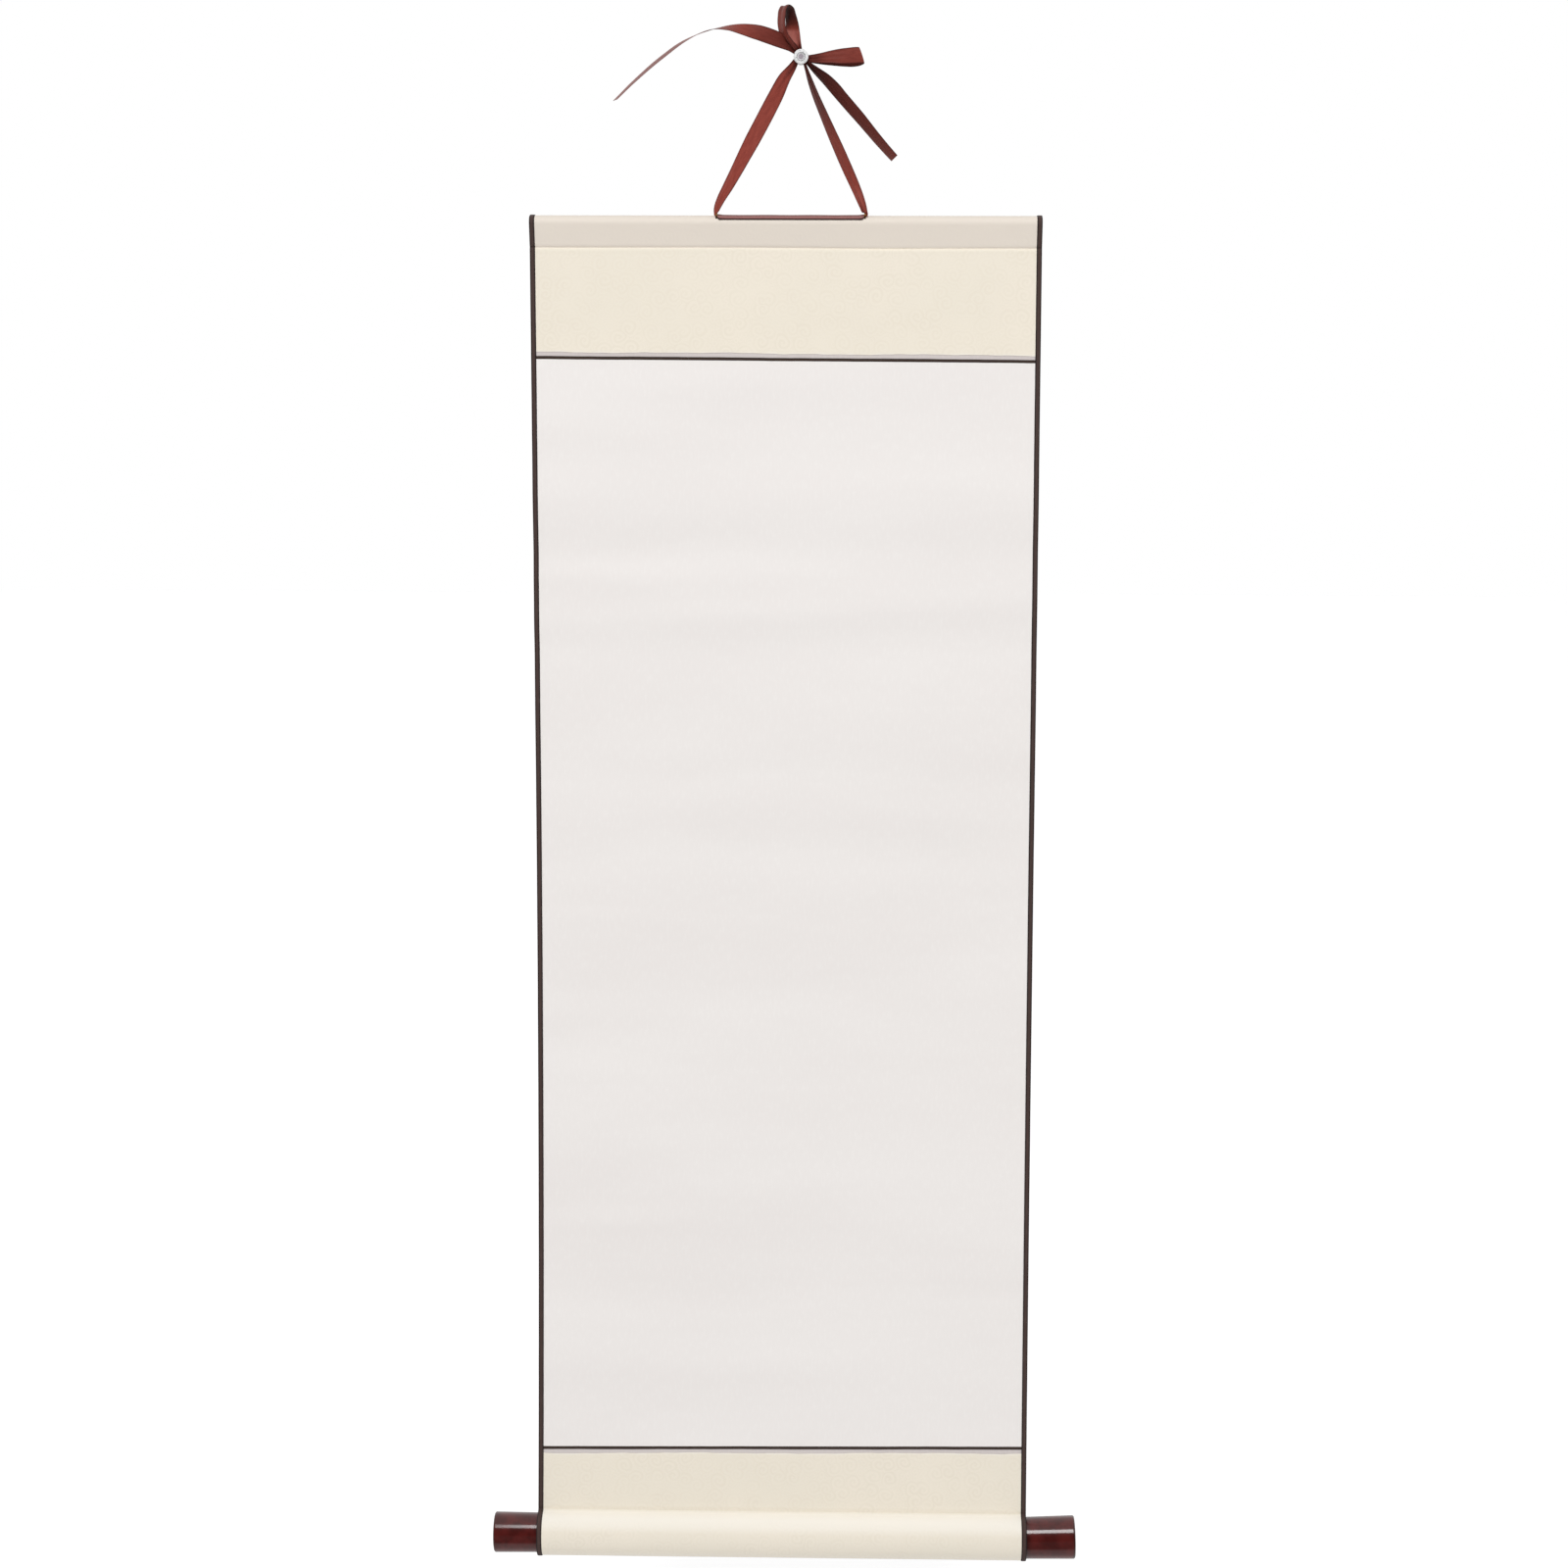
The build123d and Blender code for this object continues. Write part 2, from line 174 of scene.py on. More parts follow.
def buildStage():
    # pale floor below the scroll; what the camera sees of it is lifted to white, and shadows stay on it
    half, height = stage["half"], stage["floor"]
    mesh = bpy.data.meshes.new("floor")
    corners = [(-half, -half, height), (half, -half, height), (half, half, height), (-half, half, height)]
    mesh.from_pydata(corners, [], [(0, 1, 2, 3)])
    floor = bpy.data.objects.new("floor", mesh)
    bpy.context.collection.objects.link(floor)
    finish = Finish("floorPaper", Roughness=0.9, Emission_Strength=1.0)
    seen, glossy = [finish.node("LightPath", output=ray) for ray in ("Is Camera Ray", "Is Glossy Ray")]
    # in reflections the floor ends a little way in front of the scroll
    front = stage["floorFront"]
    far = glossy * (1 - finish.parts(finish.place())[1].between(front - 0.06, front + 0.06))
    plain, dark, glow, lift = [(stage[grey],) * 3 for grey in ("floorColour", "floorDark", "floorGlow", "floorLift")]
    finish.feed("Base Color", finish.blend(far, plain, dark))
    finish.feed("Emission Color", finish.blend(seen - far, glow, lift))
    mesh.materials.append(finish.material)

    # world: soft even light; white to the camera and in reflections, but for the darker room behind the camera
    world = bpy.data.worlds.new("room")
    bpy.context.scene.world = world
    world.use_nodes = True
    room = Nodes(world.node_tree)
    rays = ("Is Camera Ray", "Is Transmission Ray", "Is Glossy Ray")
    eye, through, glossy = [room.node("LightPath", output=ray) for ray in rays]
    seen = eye.maths("MAXIMUM", eye, through)
    way = room.parts(room.node("TexCoord", output="Generated"))
    reflected = 1 - (0 - way[1]).between(*stage["frontFade"]) * (1 - stage["frontDark"])
    strength = glossy * reflected + (1 - glossy) * (seen + (1 - seen) * stage["ambient"])
    light = room.tree.nodes["Background"]
    light.inputs["Color"].default_value = (1.0, 1.0, 1.0, 1.0)
    room.tree.links.new(strength.socket, light.inputs["Strength"])

    key = bpy.data.lights.new("softKey", "AREA")
    key.shape = "RECTANGLE"
    key.size, key.size_y = stage["keySize"]
    key.energy = stage["keyPower"]
    lamp = bpy.data.objects.new("softKey", key)
    place, aim = Vector(stage["keyPlace"]), Vector(stage["keyAim"])
    lamp.location = place
    lamp.rotation_euler = (aim - place).to_track_quat("-Z", "Y").to_euler()
    bpy.context.collection.objects.link(lamp)


buildStage()
print("paper scroll: camera and stage ready")


# Mesh helpers

def stacked(*parts):
    # values side by side in a last direction, after each has been spread to the size of all
    return np.stack(np.broadcast_arrays(*parts), axis=-1)


def quads(rows, columns, closedColumns=False):
    # faces of a grid of points, row by row; with closedColumns the last column joins the first
    row = np.arange(rows - 1)[:, None] * columns
    column = np.arange(columns if closedColumns else columns - 1)[None, :]
    nextColumn = (column + 1) % columns
    corners = stacked(row + column, row + nextColumn, row + columns + nextColumn, row + columns + column)
    return corners.reshape(-1, 4)


def outward(points, faces):
    # the enclosed volume, summed over the faces' corner triangles, is negative where they point in: then they
    # are turned round
    a, b, c, d = (points[faces[:, corner]] for corner in range(4))
    volume = (np.cross(b - a, c - a) * a).sum() + (np.cross(c - a, d - a) * a).sum()
    return faces[:, ::-1] if volume < 0 else faces


def makePiece(name, points, faces, finish, slot, node, cut=None, sharp=40.0, tone=None):
    # points in millimetres, faces as four corners each; a corner written twice makes a triangle. A flat cut or a
    # tone that is given for the front alone is repeated for the back.
    points = np.asarray(points, float).reshape(-1, 3)
    faces = outward(points, np.asarray(faces, int))
    mesh = bpy.data.meshes.new(name)
    mesh.from_pydata((points * metre).tolist(), [], [list(dict.fromkeys(face)) for face in faces.tolist()])
    if cut is not None:
        corner = np.zeros(len(mesh.loops), int)
        mesh.loops.foreach_get("vertex_index", corner)
        layer = mesh.uv_layers.new(name="cut")
        layer.data.foreach_set("uv", np.resize(cut, (len(points), 2))[corner].ravel())
    if tone is not None:
        carried = mesh.attributes.new("tone", "FLOAT", "POINT")
        carried.data.foreach_set("value", np.resize(tone, len(points)).astype(np.float32))
    mesh.shade_smooth()
    mesh.set_sharp_from_angle(angle=np.radians(sharp))
    piece = bpy.data.objects.new(name, mesh)
    bpy.context.collection.objects.link(piece)
    mesh.materials.append(finish.material)
    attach(piece, "root")
    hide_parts(node)
    return piece


def arc(along, radius, rounding, start, end, steps):
    # a rounding in a profile: part of a circle about (along, radius), its angles in degrees
    turns = np.radians(np.linspace(start, end, steps))
    return [(along + rounding * np.cos(turn), radius + rounding * np.sin(turn)) for turn in turns]


def lathe(profile, axis, count):
    # a profile of (along, radius) turned about an axis of the frame, its two ends closed at a point
    along, radius = np.array(profile, float).T
    angle = np.linspace(0, 2 * np.pi, count, endpoint=False)
    rows = len(profile)
    points = np.empty((rows, count, 3))
    others = [index for index in range(3) if index != axis]
    points[..., axis] = along[:, None]
    points[..., others[0]] = radius[:, None] * np.cos(angle)
    points[..., others[1]] = radius[:, None] * np.sin(angle)
    poles = np.zeros((2, 3))
    poles[:, axis] = along[0], along[-1]
    points = np.concatenate([points.reshape(-1, 3), poles])
    ring = np.arange(count)
    after = (ring + 1) % count
    start = stacked(rows * count, after, ring, ring)
    base = (rows - 1) * count
    end = stacked(rows * count + 1, base + ring, base + after, base + after)
    return points, np.concatenate([quads(rows, count, True), start, end])


def plate(front, back):
    # a thin solid between two grids of points: both faces and the rim all round
    rows, columns = front.shape[:2]
    count = rows * columns
    number = np.arange(count).reshape(rows, columns)
    faces = [quads(rows, columns), quads(rows, columns)[:, ::-1] + count]
    for rim in (number[0], number[-1][::-1], number[:, 0][::-1], number[:, -1]):
        faces.append(stacked(rim[1:], rim[:-1], rim[:-1] + count, rim[1:] + count))
    return np.concatenate([front.reshape(-1, 3), back.reshape(-1, 3)]), np.concatenate(faces)


def smoothCurve(stations, count):
    # rows of numbers carried smoothly from station to station: cubic pieces whose slopes are those of the
    # stations on either side, with the places spread by distance
    rows = np.asarray(stations, float)
    steps = np.linalg.norm(np.diff(rows[:, :3], axis=0), axis=1)
    at = np.concatenate([[0.0], np.cumsum(steps)])
    slopes = np.gradient(rows, at, axis=0)
    where = np.linspace(0.0, at[-1], count)
    first = np.clip(np.searchsorted(at, where, side="right") - 1, 0, len(at) - 2)
    gap = (at[first + 1] - at[first])[:, None]
    t = (where - at[first])[:, None] / gap
    return ((2 * t**3 - 3 * t**2 + 1) * rows[first] + (t**3 - 2 * t**2 + t) * gap * slopes[first]
            + (3 * t**2 - 2 * t**3) * rows[first + 1] + (t**3 - t**2) * gap * slopes[first + 1])


def runLength(line):
    return np.concatenate([[0.0], np.cumsum(np.linalg.norm(np.diff(line, axis=0), axis=1))])


def unit(vectors):
    return vectors / np.linalg.norm(vectors, axis=-1, keepdims=True)


def softStep(values, low, high):
    t = np.clip((values - low) / (high - low), 0.0, 1.0)
    return t * t * (3 - 2 * t)


# Side view of the scroll: where the slat, the sheet and the roller stand

lean = np.arctan2(slatHalf, scroll["slatHeight"])
hem = scroll["lining"] + scroll["facing"]
sheetHalf = scroll["width"] / 2 - scroll["tape"]
sheetY = -(scroll["slatThick"] * np.cos(lean) + hem + scroll["lining"] + scroll["wallGap"])
topLine = scroll["topCloth"] + scroll["bareStrip"]
paperTop = topLine + scroll["line"]
lowerLine = paperTop + scroll["paper"]
lowerCloth = lowerLine + scroll["line"] + scroll["bareStrip"]
sheetLength = lowerCloth + scroll["lowerCloth"]
sheetEnd = sheetLength - 1.2     # from here the run round the roller takes over
straight = sheetLength - scroll["curlLength"]
hemTop = slatHigh + hem
leaveU = -slatHalf - scroll["lining"]
leaveV = -slatHigh + scroll["slatFootRound"]
slatY = sheetY - leaveU * np.cos(lean) + leaveV * np.sin(lean)
slatZ = -scroll["loopDrop"] - hemTop * np.cos(lean)
sheetZ = slatZ + leaveU * np.sin(lean) + leaveV * np.cos(lean)
curlTurn = scroll["curlLength"] / scroll["curlRadius"]
rollerRadius = scroll["dowelRadius"] + hem

# Soft bends that hanging paper keeps: how far down, where across, its reach across, its slant, its height and
# its breadth, all in millimetres
paperBends = [
    (88, -40, 150, 0, 0.45, 9), (120, -120, 70, 0.02, 0.75, 13), (160, 60, 330, 0, 1.50, 22),
    (196, -60, 260, 0, -1.19, 15), (214, -130, 60, 0, 0.68, 9), (236, 10, 330, -0.045, 1.06, 12),
    (262, -20, 300, -0.02, -0.80, 17), (312, 70, 170, 0.02, 0.85, 24), (345, -90, 130, 0, -0.56, 13),
    (371, 50, 120, 0, 0.75, 13), (396, 20, 190, 0, -0.56, 15), (444, -130, 50, 0.03, 0.48, 6),
    (470, 90, 130, 0, 0.45, 22), (511, 20, 240, 0, 0.40, 20), (544, -130, 40, -0.02, 0.42, 7),
    (548, 140, 40, 0.02, 0.38, 6), (590, 60, 170, 0, 0.50, 28), (646, -115, 60, -0.02, 0.57, 7),
    (684, 130, 50, 0, 0.36, 7), (716, -80, 100, 0, 0.48, 9), (748, -50, 150, 0, 0.68, 10),
    (776, 40, 200, 0, -0.38, 14)]


def ripple(x, station):
    # how far the hanging sheet stands forward of its even curve: the soft bends added up, each a hump down the
    # sheet and a wider hump across it, and all of it dying out at the slat and the roller
    total = np.zeros(np.broadcast(x, station).shape)
    for down, middle, reach, slant, height, breadth in paperBends:
        along = (station - down - slant * (x - middleX)) / breadth
        across = (x - middleX - middle) / reach
        total = total + height * np.exp(-along**2) * np.exp(-across**2)
    total = total + 0.10 * np.sin(station / 5.3 + x / 61.0) * np.sin(station / 37.0 - x / 83.0 + 1.0)
    total = total * softStep(station, 8.0, 60.0) * softStep(sheetLength - station, 12.0, 60.0)
    # the cloth is pressed in under the slat, with a small roll below the crease, and swells a little above
    # the roller
    low = station - 0.55 - 0.0022 * (x - middleX) - 0.25 * np.sin(x / 31.0)
    crease = -0.75 * np.exp(-(low / 0.62) ** 2) + 0.10 * np.exp(-((low - 2.2) / 1.2) ** 2)
    return total + crease + 0.25 * np.exp(-((sheetLength - station - 3.6) / 1.6) ** 2)


def hangAt(x, station, out):
    # straight down for its upper part, then along a large arc that brings the foot forward
    station = np.asarray(station, float)
    out = out + ripple(x, station)
    x = x + askew["sway"] * np.sin(np.pi * np.clip(station / sheetLength, 0.0, 1.0))
    bend = np.maximum(station - straight, 0.0) / scroll["curlRadius"]
    reach = scroll["curlRadius"] - out
    y = sheetY - scroll["curlRadius"] + reach * np.cos(bend)
    z = sheetZ - np.minimum(station, straight) - reach * np.sin(bend)
    return stacked(x, y, z)


footY, footZ = hangAt(0.0, sheetLength, 0.0)[1:]
rollerY = footY - rollerRadius * np.sin(curlTurn)
rollerZ = footZ - rollerRadius * np.cos(curlTurn)


def onSlat(u, v):
    # from the slat's own side view, u across and v up, to the frame's Y and Z
    return slatY + u * np.cos(lean) - v * np.sin(lean), slatZ + u * np.sin(lean) + v * np.cos(lean)


def slatWrap(wrap):
    # once round the slat at a distance: from under its foot, up the back, over the top and down the front
    half, high, top, foot = slatHalf, slatHigh, scroll["slatTopRound"], scroll["slatFootRound"]
    under = np.linspace(-half + 2.4, half - foot, 5)
    base = [stacked(under, -high)]
    away = [np.tile((0.0, -1.0), (5, 1))]
    for u, v, rounding, start in ((half - foot, foot - high, foot, -90), (half - top, high - top, top, 0),
                                  (top - half, high - top, top, 90)):
        angle = np.radians(np.linspace(start, start + 90, 10))
        outwards = stacked(np.cos(angle), np.sin(angle))
        base.append(np.array((u, v)) + rounding * outwards)
        away.append(outwards)
    down = np.linspace(high - top, foot + 0.9 - high, 16)[1:]
    base.append(stacked(-half, down))
    away.append(np.tile((-1.0, 0.0), (15, 1)))
    base, away = np.concatenate(base), np.concatenate(away)
    side = base[:, None, :] + np.atleast_1d(wrap)[None, :, None] * away[:, None, :]
    return stacked(*onSlat(side[..., 0], side[..., 1]))


rollerTurn = np.concatenate([np.linspace(7, 25, 10), np.linspace(28, 350, 110)])


def rollerWrap(wrap):
    # round the roller at a distance, from where the sheet comes down on it, by the front and the underside
    angle = np.radians(rollerTurn)[:, None]
    radius = scroll["dowelRadius"] + np.atleast_1d(wrap)[None, :]
    y = rollerY + radius * (np.cos(angle) * np.sin(curlTurn) - np.sin(angle) * np.cos(curlTurn))
    z = rollerZ + radius * (np.cos(angle) * np.cos(curlTurn) + np.sin(angle) * np.sin(curlTurn))
    return stacked(y, z)


def rowPlaces(start, end, step=2.0):
    # stations down the sheet, closer together beside the rods and at a cut edge
    near = np.concatenate([np.arange(0.0, 2.0, 0.25), np.arange(2.0, 7.0, 0.5)])
    marks = np.concatenate([np.arange(start, end, step), start + near, end - near])
    marks = np.unique(np.round(np.clip(marks, start, end), 3))
    return marks[np.concatenate([[True], np.diff(marks) > 0.2])]


def layer(x, wrap, start, end, hemmed=False, rolled=False, step=2.0):
    # a surface at a distance out from the rods: rows down the sheet, columns across it, and each row's station.
    # Hemmed starts with the run round the slat, and rolled ends with the run round the roller. The ends may
    # be numbers or a value for each column.
    x, wrap = np.broadcast_arrays(np.atleast_1d(x).astype(float), np.atleast_1d(wrap).astype(float))
    places = rowPlaces(float(np.mean(start)), float(np.mean(end)), step)
    share = ((places - places[0]) / (places[-1] - places[0]))[:, None]
    stations = np.asarray(start) * (1 - share) + np.asarray(end) * share + 0.0 * x[None, :]
    parts, marks = [hangAt(x[None, :], stations, wrap[None, :] - scroll["lining"])], [places]
    for wanted, turns, at, station in ((hemmed, slatWrap, 0, -1.0), (rolled, rollerWrap, 2, sheetLength + 1.0)):
        if wanted:
            side = turns(wrap)
            across = np.broadcast_to(x, side.shape[:2])[..., None]
            parts.insert(at, np.concatenate([across, side], axis=-1))
            marks.insert(at, np.full(len(side), station))
    return np.concatenate(parts), np.concatenate(marks)


def flatMap(grid, x):
    # the flat cut of a layer: across it, and along its run in the middle column
    along = runLength(grid[:, grid.shape[1] // 2])
    return stacked((x - middleX)[None, :], along[:, None])


print("paper scroll: sheet route ready")


# Colours are named as they look in daylight and turned into the renderer's own scale

def tint(*value):
    part = np.array(value) / 255.0
    return tuple(np.where(part <= 0.04045, part / 12.92, ((part + 0.055) / 1.055) ** 2.4).tolist())


# Sheets

# the fifth colour is painted light round the roller, and also the paler colour of frayed cut edges
# the fourth colour is painted shade on the cloth over the slat, with a little of the slat showing through
damask = {"ground": tint(247, 238, 222), "shade": tint(244, 236, 220), "figure": tint(242, 233, 216),
          "pasted": tint(235, 225, 213), "paintedLightAndFray": tint(255, 250, 240), "cell": 0.0115, "line": 0.00155,
          "thread": 0.00042, "wobble": 0.45}
paste = 0.10     # between one layer and the next that is pasted on it


def damaskFinish():
    # woven clouds: each cell of an uneven grid holds a spiral of raised lines, and the pattern comes and goes
    finish = Finish("creamDamask", Roughness=0.62, Specular_IOR_Level=0.35)
    where = finish.cloth(0.001, 0.001)
    drift = finish.node("TexNoise", values={"Vector": where, "Scale": 95.0, "Detail": 1.5}, output="Color")
    drift = finish.node("VectorMath", {"operation": "SUBTRACT"}, {0: drift, 1: (0.5, 0.5, 0.5)})
    drift = finish.node("VectorMath", {"operation": "SCALE"}, {0: drift, "Scale": 0.0042})
    bent = finish.node("VectorMath", {"operation": "ADD"}, {0: where, 1: drift})
    cells = {"Vector": bent, "Scale": 1 / damask["cell"], "Randomness": 0.9}
    flat = {"voronoi_dimensions": "2D", "feature": "F1"}
    distance = finish.node("TexVoronoi", flat, cells, output="Distance")
    heart = finish.node("TexVoronoi", flat, cells, output="Position")
    away = finish.node("VectorMath", {"operation": "SUBTRACT"}, {0: bent, 1: heart})
    across, down, _ = finish.parts(away)
    angle = finish.node("Math", {"operation": "ARCTAN2"}, {0: down, 1: across})
    # spiral rings: distance over the line pitch, plus one turn of angle
    rings = (distance * (np.pi * damask["cell"] / damask["line"]) + angle).sine()
    raised = rings.between(-0.25, 0.35)
    inside = 1 - distance.between(0.46, 0.60)
    small = {"Vector": bent, "Scale": 1 / (0.36 * damask["cell"]), "Randomness": 1.0}
    filler = finish.node("TexVoronoi", flat, small, output="Distance")
    filler = (filler * 15.0).sine().between(-0.2, 0.4) * 0.7
    figure = raised * inside + filler * (1 - inside)
    # here only wear: the figure comes and goes at random
    wearAndPaintedLight = finish.noise(where, 55.0, 3.0).between(0.30, 0.62)
    figure = figure * (0.35 + wearAndPaintedLight * 0.65)
    plain = finish.noise(where, 9.0, 3.0)
    ground = finish.blend(plain.between(0.3, 0.7), damask["ground"], damask["shade"])
    colour = finish.blend(figure * 0.8, ground, damask["figure"])
    # the tone is above 0 where the cloth lies over the slat, for painted shade of the slat's face with a little of the
    # slat showing through, and below 0 for the paler frayed edge and for painted light round the roller
    pasted = finish.tone()
    blotch = finish.noise(finish.cloth(0.0004, 0.0022), 60.0, 3.0)
    colour = finish.blend(pasted * (0.80 + blotch * 0.4), colour, damask["pasted"])
    colour = finish.blend(pasted * -0.85, colour, damask["paintedLightAndFray"])
    # weave: fine warp and weft threads, crossed
    side, along, _ = finish.parts(finish.cloth())
    thread = np.pi / (damask["thread"] * 1000)
    weave = (side * thread).sine().size().least((along * (thread * 0.82)).sine().size())
    return finish.looks(colour, 0.66 - figure * 0.16, figure * 0.75 + weave * 0.25, 0.07, 0.5)


def paperFinish(name, light, dark):
    # smooth handmade paper: faint cloudiness, long soft fibres and a fine tooth
    finish = Finish(name, Roughness=0.78, Specular_IOR_Level=0.3)
    cloud = finish.noise(finish.cloth(0.0004, 0.0016), 9.0, 4.0).between(0.25, 0.75)
    fibres = finish.noise(finish.cloth(0.0022, 0.0006), 260.0, 3.0, 0.65)
    tooth = finish.noise(finish.cloth(0.001, 0.001), 1900.0, 3.0, 0.6)
    colour = finish.blend(cloud * 0.65 + fibres.between(0.45, 0.72) * 0.35, dark, light)
    return finish.looks(colour, 0.74 + tooth * 0.08, tooth * 0.5 + fibres * 0.5, 0.05, 0.35)


def tapeFinish(name, middle, edge, width):
    # narrow woven tape: darker along both edges, partly its woven edges and partly painted shade of its rounded
    # section, a slub here and there, and crosswise ribs
    finish = Finish(name, Roughness=0.75, Specular_IOR_Level=0.3)
    side, along, _ = finish.parts(finish.cloth())
    # painted shade of the rounded section along both edges, over the tape's darker woven edges
    rim = (side - width / 2).size().between(width * 0.22, width * 0.48)
    wear = finish.noise(finish.cloth(0.35, 0.03), 3.0, 4.0, 0.7)
    base = finish.blend(rim, middle, edge)
    base = finish.blend(wear.between(0.52, 0.80) * 0.35, base, tint(122, 104, 96))
    ribs = (along * (np.pi / 0.42)).sine().size()
    grain = finish.noise(finish.cloth(1.0, 0.4), 3.0, 3.0, 0.6)
    return finish.looks(base, 0.66 + grain * 0.18, ribs * 0.55 + grain * 0.45, 0.12, 0.6)


cloth = damaskFinish()
whitePaper = paperFinish("whitePaper", tint(249, 245, 242), tint(243, 238, 235))
liningPaper = paperFinish("liningPaper", tint(222, 214, 211), tint(212, 203, 201))
brownTape = tapeFinish("brownTape", tint(74, 57, 53), tint(38, 27, 26), 3.0)
brownLine = tapeFinish("brownLine", tint(64, 50, 43), tint(46, 35, 30), 2.0)
# how much painted light the cloth gets round the roller, at its top and its underside: degrees from where the sheet
# comes down, and the share there
rollerPaintedLight = (38, 58, 76, 120, 160, 200, 300), (1, 0.6, 0.0, 0.0, 0.5, 0.5, 0)
faceWrap, clothWrap = hem, scroll["lining"] + paste


def cutWobble(x, seed, size):
    # an uneven cut: a few waves of different lengths, added up
    rng = np.random.default_rng(seed)
    waves = [np.sin(x / length + turn) / (rank + 1) for rank, (length, turn)
             in enumerate(zip((23.0, 9.1, 4.3, 2.2), rng.uniform(0, 6.28, 4)))]
    return size * np.sum(waves, axis=0) / 1.6


def frayed(marks, edge, x, seed):
    # how far each place on the cloth is frayed: most at its cut edge, and unevenly along it
    rng = np.random.default_rng(seed)
    uneven = np.interp(x, np.linspace(x[0], x[-1], 90), rng.uniform(0.2, 1.0, 90))
    return np.exp(-(np.abs(marks - edge) / 0.9) ** 2)[:, None] * uneven[None, :]


def topSlope(x):
    return askew["topShift"] + askew["top"] * (x - middleX)


def lowSlope(x):
    return askew["low"] * (x - middleX)


def twoFaces(x, outer, inner, *ends, **runs):
    # the front and the back of a layer, its flat cut, and the station of each row
    front, marks = layer(x, outer, *ends, **runs)
    rear, _ = layer(x, inner, *ends, **runs)
    return front, rear, flatMap(front, x), marks


def buildSheets():
    x, wide, fine = [middleX + np.linspace(-sheetHalf, sheetHalf, count) for count in (133, 107, 265)]
    front, rear, cut, _ = twoFaces(wide, scroll["lining"], 0.0, 0.0, sheetEnd, hemmed=True, rolled=True, step=3.5)
    lining = makePiece("liningPaper", *plate(front, rear), liningPaper, "lining_paper", "backing_paper", cut)

    front, rear, cut, _ = twoFaces(x, faceWrap, clothWrap, paperTop + topSlope(x), lowerLine + lowSlope(x), step=3.0)
    face = makePiece("scrollPaper", *plate(front, rear), whitePaper, "white_paper", "painting_paper", cut)

    edge = scroll["topCloth"] + topSlope(fine) + cutWobble(fine, 11, damask["wobble"])
    front, rear, cut, marks = twoFaces(fine, faceWrap, clothWrap, 0.0, edge, hemmed=True, step=3.0)
    # tone: painted shade over the slat, less at the paler frayed cut edge
    pasted = 1.0 * (marks < 0.6)[:, None] - frayed(marks, scroll["topCloth"], fine, 21)
    upper = makePiece("topDamask", *plate(front, rear), cloth, "cream_damask", "top_damask", cut, tone=pasted)

    edge = lowerCloth + lowSlope(fine) + cutWobble(fine, 12, damask["wobble"])
    front, rear, cut, marks = twoFaces(fine, faceWrap, clothWrap, edge, sheetEnd, rolled=True, step=3.0)
    # tone: painted light round the roller's top and underside, and the paler frayed cut edge
    paintedLightAndFray = np.zeros(len(front))
    paintedLightAndFray[-len(rollerTurn):] = -np.interp(rollerTurn, *rollerPaintedLight)
    paintedLightAndFray = paintedLightAndFray[:, None] - frayed(marks, lowerCloth, fine, 22)
    lower = makePiece("lowerDamask", *plate(front, rear), cloth, "cream_damask", "bottom_damask",
                      cut + (0.0, 400.0), tone=paintedLightAndFray)

    lines = []
    for name, start, slope, node in (("upperLine", topLine, topSlope, "upper_brown_line"),
                                     ("lowerLine", lowerLine, lowSlope, "lower_brown_line")):
        at = np.linspace(0.0, scroll["line"], 9)
        swell = 0.12 * (1 - (2 * at / scroll["line"] - 1) ** 2)[:, None]
        waver = start + at[:, None] + (slope(fine) + cutWobble(fine, int(start), 0.10))[None, :]
        front, rear = [hangAt(fine[None, :], waver, out) for out in (scroll["facing"] + swell, paste)]
        cut = stacked(at[:, None], (fine - middleX)[None, :])
        lines.append(makePiece(name, *plate(front, rear), brownLine, "brown_tape", node, cut))
    return lining, face, upper, lower, lines


def buildTape(name, side, node):
    # a flat loop of tape in section, folded over the sheet's edge: columns follow the section once round, as
    # how far in from the edge and how far out from the rods. Over the rods it is only a ring on their ends.
    width, top = scroll["tapeWidth"] + 0.3, faceWrap + 0.32
    facing = [(width, faceWrap + 0.04), (width - 0.08, top - 0.08), (width - 0.5, top + 0.06),
              (width * 0.62, top + 0.13), (width * 0.38, top + 0.13), (0.4, top + 0.07), (-0.02, top - 0.04),
              (-0.14, faceWrap)]
    sheet = facing + [(-0.14, 0.0), (0.0, -0.22), (0.4, -0.32), (width - 0.3, -0.32), (width, -0.2), (width, -0.04),
                      (0.30, -0.04), (0.30, faceWrap + 0.04)]
    ring = facing + [(-0.10, 0.3), (-0.04, 0.15), (0.02, 0.06), (0.12, 0.02), (0.2, 0.02), (0.26, 0.06),
                     (0.29, 0.15), (0.29, faceWrap + 0.04)]
    grids = []
    for section in (sheet, ring):
        inward, wrap = np.array(section).T
        x = middleX + side * (scroll["width"] / 2 - inward)
        grid, marks = layer(x, wrap, 0.0, sheetEnd, hemmed=True, rolled=True)
        grids.append(grid)
    onSheet = (softStep(marks, 0.5, 5.0) * softStep(sheetLength - marks, 2.0, 7.0))[:, None, None]
    grid = grids[0] * onSheet + grids[1] * (1 - onSheet)
    rows, columns = grid.shape[:2]
    number = np.arange(rows * columns).reshape(rows, columns)
    # each end is closed by quads from one side of the section to the other
    across = np.array([[0, 1, 2, 15]] + [[step, step + 1, 16 - step, 17 - step] for step in range(2, 8)])
    faces = np.concatenate([quads(rows, columns, True), number[0][across][:, ::-1], number[-1][across]])
    along = runLength(grid[:, 3])
    cut = stacked(np.array(sheet).T[:1], along[:, None])
    return makePiece(name, grid, faces, brownTape, "brown_tape", node, cut)


lining, face, upper, lower, lines = buildSheets()
leftTape = buildTape("leftTape", -1, "left_binding")
rightTape = buildTape("rightTape", 1, "right_binding")
print("paper scroll: sheets, lines and tapes built")


# Roller, knobs, staples and pin

